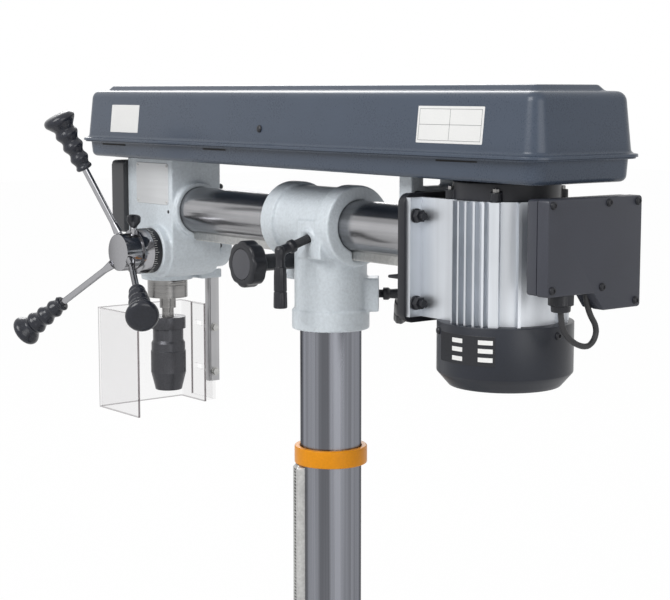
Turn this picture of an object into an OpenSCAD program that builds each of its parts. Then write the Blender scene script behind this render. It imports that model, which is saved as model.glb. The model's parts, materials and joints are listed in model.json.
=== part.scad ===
// Radial arm drill for a bench: the arm slides, tilts and swings on a round column.
// Millimetres. X is the operator's right, Y points to the motor, Z is up.
// The origin is under the base, on the column's axis.

/* [Base and column] */
// Width of the base
base_w = 300; // [240:5:400]
// Distance from the column's axis to the base's front edge
base_front = 330; // [260:5:420]
// Distance from the column's axis to the base's back edge
base_back = 110; // [95:5:180]
// Height of the base
base_h = 45; // [35:1:70]
// Wall of the hollow under the base
base_wall = 12; // [8:1:20]
// Thickness of the base's top
base_top = 18; // [12:1:24]
// Corner radius of the base
base_corner = 30; // [20:1:50]
// Diameter of the bench bolt holes
base_bolt_d = 13; // [9:0.5:17]
// Distance from a bench bolt hole to the base's edges
base_bolt_inset = 28; // [26:1:34]
// Outside diameter of the column
column_d = 73; // [65:0.5:80]
// Wall of the column tube
column_wall = 5; // [3:0.5:8]
// Height of the ram's axis above the bench
ram_height = 780; // [740:5:900]
// Width of the column flange beyond the column, all round
flange_rim = 38; // [34:1:44]
// Thickness of the flange plate
flange_t = 14; // [10:1:20]
// Wall of the flange's socket
flange_wall = 14; // [12:1:18]
// Height of the flange's socket above its plate
flange_hub_h = 46; // [30:1:52]
// Shank diameter of the four flange bolts
flange_bolt_d = 10; // [8:1:12]
// Drop from the ram's axis to the top of the rack ring
ring_drop = 265; // [240:1:280]
// Height of the rack ring
ring_h = 21; // [15:1:28]
// Wall of the rack ring
ring_wall = 7; // [5:0.5:9]
// Width of the column rack
column_rack_w = 16; // [12:1:18]
// Thickness of the column rack under its teeth
column_rack_t = 6; // [5:0.5:8]
// Direction that the column rack faces, from the right side
column_rack_turn = -18; // [-40:1:10]

/* [Table] */
// Width of the table
table_w = 230; // [180:5:280]
// Depth of the table
table_l = 230; // [200:5:250]
// Thickness of the table
table_t = 24; // [18:1:30]
// Height of the table's top above the bench
table_top = 220; // [215:1:235]
// Distance from the column's axis to the table's middle
table_reach = 230; // [215:5:260]
// Width of the table's slots
slot_w = 14; // [10:1:18]
// Diameter of the table's post
post_d = 40; // [30:1:50]
// Wall of the table bracket round the column
bracket_wall = 16; // [14:1:20]
// Height of the table bracket
bracket_h = 66; // [60:1:70]
// Length of the table crank from its shaft to its grip
crank_len = 75; // [60:1:80]

/* [Arm] */
// Outside diameter of the ram
ram_d = 60; // [56:0.5:64]
// Wall of the ram tube
ram_wall = 6; // [4:0.5:9]
// Distance from the spindle's axis back to the ram's front end
ram_front = 32; // [31:0.5:38]
// Width of the ram's rack
ram_rack_w = 18; // [14:1:20]
// Thickness of the ram's rack under its teeth
ram_rack_t = 7; // [6:0.5:8]
// Wall of the cross sleeve
sleeve_wall = 13; // [11:0.5:16]
// Height of the sleeve's end collars above its barrel
collar_rise = 4; // [2:0.5:6]
// Sleeve end in front of the column's axis
sleeve_front = 78; // [74:1:84]
// Sleeve end behind the column's axis
sleeve_back = 53; // [50:1:58]
// Width of the sleeve's end collars
collar_w = 24; // [18:1:28]
// Wall of the column socket
socket_wall = 6.5; // [5:0.5:9]
// Drop from the ram's axis to the bottom of the column socket
socket_drop = 124; // [118:1:140]
// Distance of the ram's pinion in front of the column's axis
ram_pinion_y = 42; // [41:0.5:46]
// Pitch radius of the ram's pinion
ram_pinion_r = 7.5; // [7:0.25:8.5]
// Radius of the ram feed knob
knob_r = 28; // [22:0.5:30]
// Thickness of the ram feed knob
knob_t = 20; // [14:1:26]
// Distance of the knob's back from the column's axis
knob_x = 80; // [72:1:90]
// Diameter of the clamp lever screws
lock_d = 10; // [8:0.5:12]
// Length of a clamp lever's handle
lock_len = 63; // [50:1:75]

/* [Head] */
// Half width of the head casting
head_half = 38; // [37:0.5:42]
// Distance from the column's axis to the spindle's axis
spindle_reach = 358; // [357:0.5:362]
// Distance from the spindle's axis to the head's front
head_front = 36; // [34:1:42]
// Distance from the spindle's axis to the head's back
head_back = 73; // [68:1:75]
// Drop from the ram's axis to the head's underside
head_drop = 90; // [88:1:100]
// Rise from the ram's axis to the head's top
head_top = 68; // [66:0.5:72]
// Diameter of the quill
quill_d = 54; // [50:0.5:56]
// Drop from the ram's axis to the quill's end
quill_drop = 121.5; // [116:0.5:130]
// Travel of the quill
quill_travel = 80; // [50:1:80]
// Pitch radius of the feed pinion
feed_pinion_r = 14; // [13:0.25:15]
// Drop from the ram's axis to the feed shaft
feed_drop = 53; // [52:0.5:56]
// Radius of the feed hub
hub_r = 24; // [21:0.5:27]
// Distance of the hub's face from the column's axis
hub_x = 100; // [96:1:106]
// Radius of the graduated dial
dial_r = 29.5; // [27:0.5:32]
// Diameter of the feed levers
lever_d = 8.5; // [7:0.5:10]
// Length of a feed lever from the hub's axis to its grip's end
lever_len = 199; // [170:1:215]
// Angle of the feed levers out of the hub's plane
lever_cone = 25; // [15:1:30]
// Turn of the first feed lever at rest
lever_turn = 100; // [60:1:140]
// Length of a lever grip
grip_len = 78; // [60:1:90]
// Radius of a lever grip's flared end
grip_r = 20.5; // [16:0.5:22]
// Radius of the chuck sleeve
chuck_r = 23.8; // [22:0.2:26]
// Length of the chuck
chuck_len = 100; // [90:1:110]
// Thickness of the guard sheet
guard_t = 3; // [2:0.5:4]
// Height of the guard sheet
guard_h = 138; // [110:1:160]
// Depth of the guard in front of the spindle
guard_reach = 73; // [65:1:85]
// Side of the guard bar
bar_w = 16; // [12:1:18]
// Depth of the switch box
switch_t = 30; // [24:1:40]
// Radius of the push buttons
button_r = 11; // [8:0.5:12]

/* [Cover] */
// Half width of the cover's rim
cover_half = 81; // [78:0.5:90]
// Distance from the spindle's axis to the cover's front rim
cover_front = 97; // [92:1:122]
// Distance from the motor's axis to the cover's back rim
cover_back = 121; // [110:1:145]
// Rise from the ram's axis to the joint of lid and tray
cover_joint = 89; // [87:0.5:95]
// Room from the pulleys' top to the lid's top
lid_top = 17; // [14:0.5:26]
// Sheet thickness of the cover
cover_sheet = 2; // [1.5:0.1:3]
// Corner radius of the cover
cover_corner = 28; // [20:1:36]
// Radius of the largest pulley step
pulley_r = 58; // [50:1:60]
// Fall in radius from one pulley step to the next
pulley_step = 7; // [5:0.5:8]
// Height of one pulley step
pulley_pitch = 14; // [12:0.5:14.5]

/* [Motor] */
// Distance of the motor's axis behind the column's axis
motor_y = 295; // [292:1:302]
// Radius over the motor housing's fins
motor_r = 66; // [62:0.5:68]
// Depth of the motor housing's fins
fin_depth = 9; // [6:0.5:11]
// Number of narrow fins on each side of the motor housing
fins = 5; // [3:1:5]
// Radius of the fan cowl
cowl_r = 71.5; // [69:0.5:73]
// Drop from the ram's axis to the cowl's end
cowl_drop = 150; // [145:1:165]
// Radius of the motor shaft
shaft_r = 9.5; // [8:0.5:11]
// Half width of the motor plate
plate_half = 71; // [66:1:76]
// Distance from the motor's axis to the motor plate's front
plate_y = 90; // [87:1:91]
// Thickness of the motor plate
plate_t = 10; // [8:0.5:11]
// Half width of the terminal box
box_half = 66; // [60:0.5:70]
// Distance from the motor's axis to the terminal box's face
box_y = 125; // [121:1:133]
// Diameter of the cable
cable_d = 6; // [5:0.25:7]

/* [Fits] */
// Radial clearance of running fits
fit = 0.05; // [0.02:0.01:0.1]
// Gap between pieces that pass or face each other
gap = 0.4; // [0.3:0.05:0.8]
// Play between gear flanks
backlash = 0.35; // [0.25:0.05:0.6]

/* [Hidden] */
$fn = 64;

cast_white = [0.86, 0.87, 0.87];
steel = [0.62, 0.63, 0.64];
black = [0.09, 0.09, 0.10];
slate = [0.33, 0.36, 0.41];
aluminium = [0.75, 0.76, 0.77];
orange = [0.87, 0.55, 0.08];

// Column stack
column_r = column_d / 2;
column_top = ram_height - 56;
flange_d = column_d + 2 * flange_rim;
flange_hub_d = column_d + 2 * flange_wall;
flange_bolt_circle = (flange_d + flange_hub_d) / 2;
flange_top = base_h + flange_t + flange_hub_h;
bolt_head_h = 0.65 * flange_bolt_d;
ring_d = column_d + 2 * ring_wall;
ring_top = ram_height - ring_drop;
ring_bottom = ring_top - ring_h;

// Gears: every pinion has teeth enough to run on its rack without undercut
teeth = 16;
pressure = 20;
column_pinion_r = 10;
column_rack_in = column_r + gap;
column_pitch_r = column_rack_in + column_rack_t + gear_dedendum(column_pinion_r);
crank_r = column_pitch_r + column_pinion_r;

// Table
table_bottom = table_top - table_t;
bracket_top = table_bottom - gap;
bracket_bottom = bracket_top - bracket_h;
bracket_d = column_d + 2 * bracket_wall;
crank_z = bracket_bottom + bracket_h / 2;
gear_box_r = column_pinion_r + 8;
gear_box_y = column_rack_w / 2 + 16;
crank_shaft_d = 12;
ear_reach = 22;
// The crank turns clear of the bracket's clamp ears
crank_arm_z = bracket_d / 2 + ear_reach + 6;
post_h = 40;

// Arm
ram_r = ram_d / 2;
ram_end = spindle_reach - ram_front;
head_nose = spindle_reach + head_front;
head_tail = spindle_reach - head_back;
plate_front = motor_y - plate_y;
sleeve_r = ram_r + sleeve_wall;
collar_r = sleeve_r + collar_rise;
socket_r = column_r + socket_wall;
rack_pitch_z = ram_r + fit + ram_rack_t + gear_dedendum(ram_pinion_r);
ram_pinion_z = rack_pitch_z + ram_pinion_r;
ram_rack_tip = rack_pitch_z + gear_addendum(ram_pinion_r);
ram_rack_front = head_tail - 7 - gap;
bracket_y = plate_front - 37;
bracket_t = 20;
ram_rack_back = bracket_y - gap;
pinion_bore_r = ram_pinion_r + gear_addendum(ram_pinion_r) + gap;
pinion_block = [-25, 20];
neck_r = 10;
ram_lock_y = 16;
ram_lock_tilt = 17.5;
lock_boss = collar_r + 2;
column_lock_z = -83;
column_lock_turn = 140;
column_lock_r = socket_r + 14;

// Head
quill_r = quill_d / 2;
quill_top = quill_travel + 11 - feed_drop;
quill_pitch_y = quill_r - gear_addendum(feed_pinion_r) - gap;
feed_y = -spindle_reach + quill_pitch_y + feed_pinion_r;
feed_bore_r = feed_pinion_r + gear_addendum(feed_pinion_r) + gap;
feed_shaft_r = 10;
boss_x = head_half + 12;
cap_x = head_half + 4;
cap_end = cap_x + 18;
cap_r = 28;
spindle_r = 8;
pulley_sleeve_r = 12;
bearing_r = 21;
quill_bearing_r = 20;
chuck_top = -quill_drop - 27;
chuck_end = chuck_top - chuck_len;
jaw_r = 3.2;
jaw_tilt = 15;
jaw_drop = 10;
jaw_len = 18;
jaw_travel = 6;
jaw_foot_r = 5.5;
lever_root_x = hub_x - 16;
lever_seat = 15;
pivot_x = -58;
pivot_y = -spindle_reach + 21;
pivot_top = -head_drop - 7.5;
bar_top = pivot_top - gap;
bar_t = 10;
guard_top = -quill_drop - 16.5;
guard_left = pivot_x - bar_w / 2;
guard_right = 68;
guard_front = -spindle_reach - guard_reach;
switch_half = 45;
switch_z = [-35, 62];
button_x = 19;
button_z = 22;
button_h = 9;

// Cover
tray_bottom = head_top;
tray_inset = 10;
lid_inset = 7;
lid_draft = 7;
pulley_bottom = head_top + 6;
pulley_steps = 5;
pulley_h = pulley_pitch * pulley_steps;
lid_crown = pulley_bottom + pulley_h + lid_top;
lid_shoulder = lid_crown - 7;
panel_half = cover_half - lid_inset - lid_draft - 20;
rim_t = 3;
hinge_r = 3;
hinge_x = -cover_half - hinge_r - gap;
hinge_z = cover_joint + hinge_r + gap;
belt_step = 2;
belt_z = pulley_bottom + (belt_step + 0.5) * pulley_pitch;
belt_r = pulley_r - belt_step * pulley_step;
groove_depth = 7;
belt_t = 6;
belt_in = belt_r - groove_depth + gap;
cover_nose = spindle_reach + cover_front;
cover_tail = motor_y + cover_back;

// Motor
bell_top = head_top - 5;
bell_bottom = 44;
housing_bottom = -82;
cowl_top = housing_bottom;
motor_core_r = motor_r - fin_depth;
stator_out = motor_core_r - 6;
rotor_r = 32;
stator_in = rotor_r + gap;
plate_bottom = -89;
plate_top = 48;
slide_x = 28;
slide_z = 42;
slide_r = 6;
foot_x = [49, 68];
lug_turn = 35;
fin_turn = 9;
box_top = 51;
box_face_y = motor_y + box_y;
box_low = -60;
box_step = -42;
box_depth = 29;
gland_x = 32;
gland_y = box_face_y - 15;
gland_h = 18;
// Route of the short cable, from the gland down and back up into the terminal box
cable_route = [
  [32, -60], [31, -68], [28, -77], [21, -86], [11, -93], [0, -97],
  [-9, -97], [-16, -92], [-19, -84], [-17, -76], [-12, -69], [-8, -62], [-5, -54], [-3, -47], [-3, -40]
];

// Gear proportions and outlines
function gear_module(r) = 2 * r / teeth;
function gear_pitch(r) = PI * gear_module(r);
function gear_addendum(r) = 0.8 * gear_module(r);
function gear_dedendum(r) = 1.15 * gear_module(r);
function deg(a) = a * 180 / PI;
function polar(r, a) = [r * cos(a), r * sin(a)];
function flank_r(r, t) = r * cos(pressure) * sqrt(1 + t * t);
function flank_half(r, t) =
  90 / teeth - deg(backlash / 4 / r) + deg(tan(pressure)) - pressure - deg(t) + atan(t);
function tip_t(r) = sqrt(pow((r + gear_addendum(r)) / (r * cos(pressure)), 2) - 1);
function tooth_points(r, c) = concat(
  [polar(r - gear_dedendum(r), c - flank_half(r, 0))],
  [for (i = [0:4]) polar(flank_r(r, tip_t(r) * i / 4), c - flank_half(r, tip_t(r) * i / 4))],
  [for (i = [4:-1:0]) polar(flank_r(r, tip_t(r) * i / 4), c + flank_half(r, tip_t(r) * i / 4))],
  [polar(r - gear_dedendum(r), c + flank_half(r, 0))]
);
function gear_points(r) = [for (k = [0:teeth - 1]) each tooth_points(r, 360 * k / teeth)];
// Rack teeth run along the first axis and point up the second, with a gap over the origin
function rack_tooth(r, c) = let (
  h = gear_pitch(r) / 4 - backlash / 4,
  a = gear_addendum(r),
  d = gear_dedendum(r),
  s = tan(pressure)
) [[c - h - d * s, -d], [c - h + a * s, a], [c + h - a * s, a], [c + h + d * s, -d]];
function rack_points(r, from, to, back) = concat(
  [[to, -gear_dedendum(r)], [to, -gear_dedendum(r) - back]],
  [[from, -gear_dedendum(r) - back], [from, -gear_dedendum(r)]],
  [for (k = [ceil(from / gear_pitch(r)):floor(to / gear_pitch(r)) - 1])
    each rack_tooth(r, (k + 0.5) * gear_pitch(r))]
);

// Cable tube: a ring of points round each point of the route
cable_sides = 10;
function cable_point(i) = [cable_route[i][0], gland_y, cable_route[i][1]];
function cable_dir(i) = let (
  n = len(cable_route) - 1,
  a = cable_point(max(i - 1, 0)),
  b = cable_point(min(i + 1, n)),
  d = i == 0 || i == n ? [0, 0, i == 0 ? -1 : 1] : b - a
) d / norm(d);
function cable_ring(i) = let (d = cable_dir(i), side = cross([0, 1, 0], d)) [
  for (k = [0:cable_sides - 1])
    cable_point(i) + cable_d / 2 * (cos(360 * k / cable_sides) * side
      + sin(360 * k / cable_sides) * [0, 1, 0])
];

module at_ram() translate([0, 0, ram_height]) children();
module at_spindle() at_ram() translate([0, -spindle_reach, 0]) children();
module at_motor() at_ram() translate([0, motor_y, 0]) children();
module at_feed() at_ram() translate([0, feed_y, -feed_drop]) rotate([0, 90, 0]) children();
module x_rod(r, from, to) translate([from, 0, 0]) rotate([0, 90, 0]) cylinder(r = r, h = to - from);
module y_rod(r, from, to) translate([0, from, 0]) rotate([-90, 0, 0]) cylinder(r = r, h = to - from);
module z_rod(r, from, to) translate([0, 0, from]) cylinder(r = r, h = to - from);
module z_tube(r_out, r_in, from, to) difference() {
  z_rod(r_out, from, to);
  z_rod(r_in, from - 1, to + 1);
}
module block(x, y, z) translate([x[0], y[0], z[0]])
  cube([x[1] - x[0], y[1] - y[0], z[1] - z[0]]);
module round_square(x, y, r) {
  translate([x[0] + r, y[0]]) square([x[1] - x[0] - 2 * r, y[1] - y[0]]);
  translate([x[0], y[0] + r]) square([x[1] - x[0], y[1] - y[0] - 2 * r]);
  for (px = [x[0] + r, x[1] - r], py = [y[0] + r, y[1] - r]) translate([px, py]) circle(r);
}
module slab(x, y, r, z) translate([0, 0, z[0]]) linear_extrude(z[1] - z[0]) round_square(x, y, r);
module bolt(d, len) {
  cylinder(d = d, h = len);
  translate([0, 0, len]) cylinder(d = 1.8 * d, h = 0.65 * d, $fn = 6);
}

// Base and column
module base_bolts() {
  for (x = [-1, 1], y = [-base_front + base_bolt_inset, base_back - base_bolt_inset])
    translate([x * (base_w / 2 - base_bolt_inset), y]) children();
}
module flange_pattern() for (a = [45:90:315]) rotate(a) translate([flange_bolt_circle / 2, 0]) children();

module base_casting() color(cast_white) difference() {
  union() {
    difference() {
      slab([-base_w / 2, base_w / 2], [-base_front, base_back], base_corner, [0, base_h]);
      slab([-base_w / 2 + base_wall, base_w / 2 - base_wall], [-base_front + base_wall, base_back - base_wall],
        base_corner - base_wall, [-1, base_h - base_top]);
    }
    base_bolts() cylinder(d = 2 * base_bolt_inset - 2 * base_wall + 8, h = base_h - 1);
    flange_pattern() cylinder(d = 2.6 * flange_bolt_d, h = base_h - 1);
    block([-base_wall / 2, base_wall / 2], [-base_front + 1, base_back - 1], [0, base_h - 1]);
  }
  base_bolts() translate([0, 0, -1]) cylinder(d = base_bolt_d, h = base_h + 2);
  flange_pattern() translate([0, 0, base_h - base_top]) cylinder(d = flange_bolt_d, h = base_top + 1);
}

module column_flange() color(cast_white) difference() {
  union() {
    z_rod(flange_d / 2, base_h, base_h + flange_t);
    z_rod(flange_hub_d / 2, base_h, flange_top);
  }
  z_rod(column_r + fit, base_h - 1, flange_top + 1);
  flange_pattern() z_rod(flange_bolt_d / 2 + gap, base_h - 1, flange_top);
}

module flange_bolts() color(steel) flange_pattern()
  translate([0, 0, base_h - base_top + 2]) bolt(flange_bolt_d, base_top - 2 + flange_t);

module column_tube() color(steel) z_tube(column_r, column_r - column_wall, base_h, column_top);

module rack_ring() color(orange) z_tube(ring_d / 2, column_r + fit, ring_bottom, ring_top);

module column_rack() color(steel) rotate(column_rack_turn) difference() {
  translate([column_pitch_r, column_rack_w / 2, crank_z]) rotate([90, 0, 0]) linear_extrude(column_rack_w)
    rotate(-90) mirror([1, 0]) polygon(rack_points(column_pinion_r, flange_top + gap - crank_z,
      ring_bottom - gap - crank_z, column_rack_t + gap + 2));
  z_rod(column_rack_in, flange_top - 1, ring_bottom + 1);
}

// Table
module table_bracket() color(cast_white) difference() {
  union() {
    z_rod(bracket_d / 2, bracket_bottom, bracket_top);
    block([-27, 27], [-table_reach, 0], [bracket_top - 34, bracket_top]);
    translate([0, -table_reach]) z_rod(post_d / 2 + 12, bracket_top - 34, bracket_top);
    block([-16, 16], [0, bracket_d / 2 + ear_reach], [bracket_bottom, bracket_top]);
    rotate(column_rack_turn) block([0, crank_r + gear_box_r], [-gear_box_y, gear_box_y],
      [crank_z - gear_box_r, crank_z + gear_box_r]);
    rotate(column_rack_turn) translate([crank_r, 0, crank_z]) y_rod(crank_shaft_d / 2 + 7, 0, crank_arm_z - 6);
  }
  z_rod(column_r + fit, bracket_bottom - 1, bracket_top + 1);
  translate([0, -table_reach]) z_rod(post_d / 2 + fit, bracket_top - 35, bracket_top + 1);
  block([-1.5, 1.5], [0, bracket_d], [bracket_bottom - 1, bracket_top + 1]);
  translate([0, bracket_d / 2 + 10, crank_z]) x_rod(lock_d / 2 + fit, -17, 17);
  rotate(column_rack_turn) {
    block([0, column_pitch_r + gear_addendum(column_pinion_r) + gap],
      [-column_rack_w / 2 - gap, column_rack_w / 2 + gap], [bracket_bottom - 1, bracket_top + 1]);
    translate([crank_r, 0, crank_z]) {
      y_rod(column_pinion_r + gear_addendum(column_pinion_r) + gap, -column_rack_w / 2 - gap,
        column_rack_w / 2 + gap);
      y_rod(crank_shaft_d / 2 + fit, -column_rack_w / 2 - 5, crank_arm_z);
    }
  }
}

module table_plate() color(steel) difference() {
  union() {
    translate([0, -table_reach]) slab([-table_w / 2, table_w / 2], [-table_l / 2, table_l / 2], 14,
      [table_bottom, table_top]);
    translate([0, -table_reach]) z_rod(post_d / 2, table_bottom - post_h, table_top - 1);
  }
  for (x = [-1, 1]) translate([x * table_w / 4, -table_reach])
    block([-slot_w / 2, slot_w / 2], [-table_l / 3, table_l / 3], [table_bottom - 1, table_top + 1]);
}

// A clamp lever lies along +X: its screw starts at from, its hub sits past stand
module clamp_lever(from, stand) {
  x_rod(lock_d / 2, from, stand + 4);
  x_rod(0.8 * lock_d, stand + 4, stand + 12);
  x_rod(0.62 * lock_d, stand + 11, stand + 18);
  x_rod(0.9 * lock_d, stand + 17, stand + 33);
}
// A clamp lever's handle hangs from its hub: a slim neck, then a grip with a round end
module clamp_handle() mirror([0, 0, 1]) rotate_extrude() polygon(concat(
  [[0, 0], [0.5 * lock_d, 0], [0.5 * lock_d, 0.28 * lock_len], [0.8 * lock_d, 0.34 * lock_len]],
  [[0.8 * lock_d, 0.9 * lock_len], [0.5 * lock_d, lock_len], [0, lock_len]]
));

module table_lock_lever() color(black)
  translate([0, bracket_d / 2 + 10, crank_z]) mirror([1, 0, 0]) {
    clamp_lever(-15.5, 16 + gap);
    translate([41, 0, 0]) clamp_handle();
  }

module at_crank() rotate(column_rack_turn) translate([crank_r, 0, crank_z]) rotate([-90, 0, 0]) children();

module table_crank() color(steel) at_crank() {
  translate([0, 0, -column_rack_w / 2]) linear_extrude(column_rack_w) rotate(180)
    polygon(gear_points(column_pinion_r));
  z_rod(crank_shaft_d / 2, -column_rack_w / 2 - 4, crank_arm_z);
  translate([0, 0, crank_arm_z - 1]) linear_extrude(9) {
    circle(12);
    translate([crank_len, 0]) circle(9);
    polygon([[0, -12], [crank_len, -9], [crank_len, 9], [0, 12]]);
  }
  translate([crank_len, 0]) z_rod(4, crank_arm_z, crank_arm_z + 70);
}

module crank_grip() color(black) at_crank() translate([crank_len, 0, crank_arm_z + 8 + gap])
  rotate_extrude() polygon([[4 + fit, 0], [9, 0], [12, 12], [12.5, 45], [10, 66], [4 + fit, 66]]);

// Cross sleeve and its levers
module ram_lock_place() at_ram() translate([0, ram_lock_y, 0]) rotate([0, ram_lock_tilt, 0]) children();
module column_lock_place() at_ram() translate([0, 0, column_lock_z]) rotate(column_lock_turn) children();
module ram_pinion_place() at_ram() translate([0, -ram_pinion_y, -ram_pinion_z]) children();

module cross_sleeve() color(cast_white) difference() {
  at_ram() union() {
    y_rod(sleeve_r, -sleeve_front, sleeve_back);
    y_rod(collar_r, -sleeve_front, -sleeve_front + collar_w);
    y_rod(collar_r, sleeve_back - collar_w, sleeve_back);
    z_rod(socket_r, -socket_drop, 0);
    z_rod(socket_r + 3, -socket_drop, -socket_drop + 23);
    block([0, socket_r + 3], [ram_lock_y - 22, ram_lock_y + 22], [-38, 6]);
    block(pinion_block, [-ram_pinion_y - 20, 0], [-ram_pinion_z - 24, -ram_r]);
    translate([0, ram_lock_y, 0]) rotate([0, ram_lock_tilt, 0]) x_rod(1.2 * lock_d, 0, lock_boss);
    translate([0, 0, column_lock_z]) rotate(column_lock_turn) block([0, column_lock_r], [-17, 17], [-20, 20]);
  }
  at_ram() {
    y_rod(ram_r + fit, -sleeve_front - 1, sleeve_back + 1);
    z_rod(column_r + fit, -socket_drop - 1, column_top - ram_height + gap);
    block([-ram_rack_w / 2 - gap, ram_rack_w / 2 + gap], [-sleeve_front - 1, sleeve_back + 1],
      [-ram_rack_tip - gap, 0]);
  }
  column_lock_place() x_rod(lock_d / 2 + fit, column_r - 3, column_lock_r + 5);
  ram_lock_place() x_rod(lock_d / 2 + fit, ram_r - 3, lock_boss + 5);
  ram_pinion_place() {
    x_rod(pinion_bore_r, pinion_block[0] + 8, pinion_block[1] + 1);
    x_rod(4 + fit, pinion_block[0] - 1, 0);
    x_rod(neck_r + gap, pinion_block[1], socket_r);
  }
}

module ram_lock_lever() color(black) ram_lock_place() {
  clamp_lever(ram_r + gap, lock_boss + 16);
  translate([lock_boss + 41, 0, 0]) rotate([0, -ram_lock_tilt, 0]) clamp_handle();
}

module column_lock_lever() color(black) column_lock_place() {
  clamp_lever(column_r + gap, column_lock_r + gap);
  translate([column_lock_r + 25, 0, 0]) rotate([55, 0, 0]) clamp_handle();
}

module ram_feed_knob() color(black) ram_pinion_place() {
  x_rod(neck_r, pinion_block[1] + gap, knob_x + 1);
  translate([knob_x, 0, 0]) rotate([90, 0, 90]) linear_extrude(knob_t) difference() {
    circle(knob_r);
    for (a = [0:45:315]) rotate(a) translate([knob_r + 3, 0]) circle(6.5);
  }
}

module ram_pinion() color(steel) ram_pinion_place() {
  translate([-12, 0, 0]) rotate([90, 0, 90]) linear_extrude(24) rotate(90) polygon(gear_points(ram_pinion_r));
  x_rod(4, pinion_block[0], -11);
  x_rod(pinion_bore_r - fit, 13, pinion_block[1] + gap);
  x_rod(5, 11, 14);
}

// Ram and head
module ram_rack() color(steel) at_ram() difference() {
  translate([-ram_rack_w / 2, -ram_pinion_y, -rack_pitch_z]) rotate([90, 0, 90]) linear_extrude(ram_rack_w)
    mirror([0, 1]) polygon(rack_points(ram_pinion_r, ram_pinion_y - ram_rack_front,
      ram_pinion_y + ram_rack_back, ram_rack_t + 3));
  y_rod(ram_r + fit, -ram_rack_front - 1, ram_rack_back + 1);
}

module ram_tube() color(steel) at_ram() difference() {
  y_rod(ram_r, -ram_end, bracket_y + bracket_t);
  y_rod(ram_r - ram_wall, -ram_end - 1, bracket_y + bracket_t + 1);
}

module head_casting() color(cast_white) difference() {
  union() {
    at_ram() translate([-head_half, 0, 0]) rotate([90, 0, 90]) linear_extrude(2 * head_half) difference() {
      union() {
        translate([-head_nose, -head_drop]) square([head_nose - head_tail - 34, head_drop + head_top]);
        translate([-head_nose, 34 - head_drop]) square([head_nose - head_tail, head_drop + head_top - 34]);
        translate([-head_tail - 34, 34 - head_drop]) circle(34);
      }
    }
    at_ram() y_rod(ram_r + 6, -head_tail - 1, -head_tail + 7);
    at_spindle() z_rod(quill_r + 8, -head_drop - 7, -head_drop + 1);
    at_feed() {
      z_rod(dial_r + 3, 0, boss_x);
      z_rod(cap_r, -cap_x, 0);
    }
    at_ram() block([pivot_x - 9, -head_half + 4], [pivot_y - 12, pivot_y + 12], [pivot_top, -head_drop + 5]);
  }
  at_ram() y_rod(ram_r, -ram_end, -head_tail + 8);
  at_spindle() {
    z_rod(quill_r + fit, -head_drop - 8, quill_top + 2);
    z_rod(pulley_sleeve_r + 1, quill_top, head_top + 1);
    z_rod(bearing_r, head_top - 24, head_top + 1);
  }
  at_feed() {
    z_rod(feed_bore_r, -head_half + 10, head_half - 10);
    z_rod(feed_shaft_r + fit, -cap_x - 1, boss_x + 1);
  }
  at_ram() translate([pivot_x, pivot_y]) z_rod(4 + fit, pivot_top - 1, -head_drop);
}

module rear_bracket() color(cast_white) at_ram() difference() {
  block([-head_half, head_half], [bracket_y, bracket_y + bracket_t], [-49, tray_bottom]);
  y_rod(ram_r, bracket_y - 1, bracket_y + bracket_t + 1);
  block([-20, 20], [bracket_y - 1, bracket_y + bracket_t + 1], [52, tray_bottom + 1]);
  for (x = [-1, 1]) translate([x * slide_x, 0, slide_z])
    y_rod(slide_r + fit, bracket_y - 1, bracket_y + bracket_t + 1);
}

loop_w = 12;
loop_wire = 1.8;
loop_reach = 20;
module bracket_loop() color(black) at_ram() translate([head_half - 4, bracket_y, -49 + loop_wire]) {
  for (x = [-loop_w, 0]) translate([x, 0, 0]) y_rod(loop_wire, -loop_reach, 0);
  translate([0, -loop_reach, 0]) {
    x_rod(loop_wire, -loop_w, 0);
    for (x = [-loop_w, 0]) translate([x, 0, 0]) sphere(loop_wire);
  }
}

module spring_cap() color(cast_white) at_feed() difference() {
  z_rod(cap_r, -cap_end, -cap_x);
  z_rod(cap_r - 3, -cap_end + 3, -cap_x + 1);
  z_rod(5 + gap, -cap_end - 1, 0);
}

module cap_nuts() color(black) at_feed() for (i = [0, 1])
  translate([0, 0, -cap_end - 5 * (i + 1)]) difference() {
    cylinder(r = 9, h = 5 - 0.2 * i, $fn = 6);
    translate([0, 0, -1]) cylinder(r = 5 + fit, h = 7);
  }

spring_turns = 4;
spring_steps = 36;
function spring_r(i) = feed_shaft_r + 1.5 + (cap_r - 6 - feed_shaft_r) * i / (spring_turns * spring_steps);
module return_spring() color(steel) at_feed() translate([0, 0, -cap_end + 4]) linear_extrude(12) polygon(concat(
  [for (i = [0:spring_turns * spring_steps]) polar(spring_r(i), i * 360 / spring_steps)],
  [for (i = [spring_turns * spring_steps:-1:0]) polar(spring_r(i) + 0.8, i * 360 / spring_steps)]
));

module at_button(side) at_ram() translate([side * button_x, -head_nose - switch_t, button_z])
  rotate([90, 0, 0]) children();

module switch_box() color(black) difference() {
  at_ram() translate([0, -head_nose, 0]) rotate([90, 0, 0])
    slab([-switch_half, switch_half], switch_z, 6, [0, switch_t]);
  at_ram() block([-switch_half + 4, switch_half - 4], [-head_nose - switch_t + 4, -head_nose + 1],
    [switch_z[0] + 4, switch_z[1] - 4]);
  for (s = [-1, 1]) at_button(s) z_rod(button_r + fit, -5, 1);
}
module button(h) {
  z_rod(button_r, -4 - gap, h);
  z_rod(button_r + 2, -6 - gap, -4 - gap);
}
module start_button() color("green") at_button(1) button(button_h);
module stop_button() color("red") at_button(-1) {
  button(button_h + 3);
  z_rod(button_r + 4, button_h - 2, button_h + 4);
}

// Belt cover
module cover_plate(inset, z) slab([-cover_half + inset, cover_half - inset],
  [-cover_nose + inset, cover_tail - inset], cover_corner - inset, z);
shaft_slot_r = pulley_sleeve_r + 12;

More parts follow.
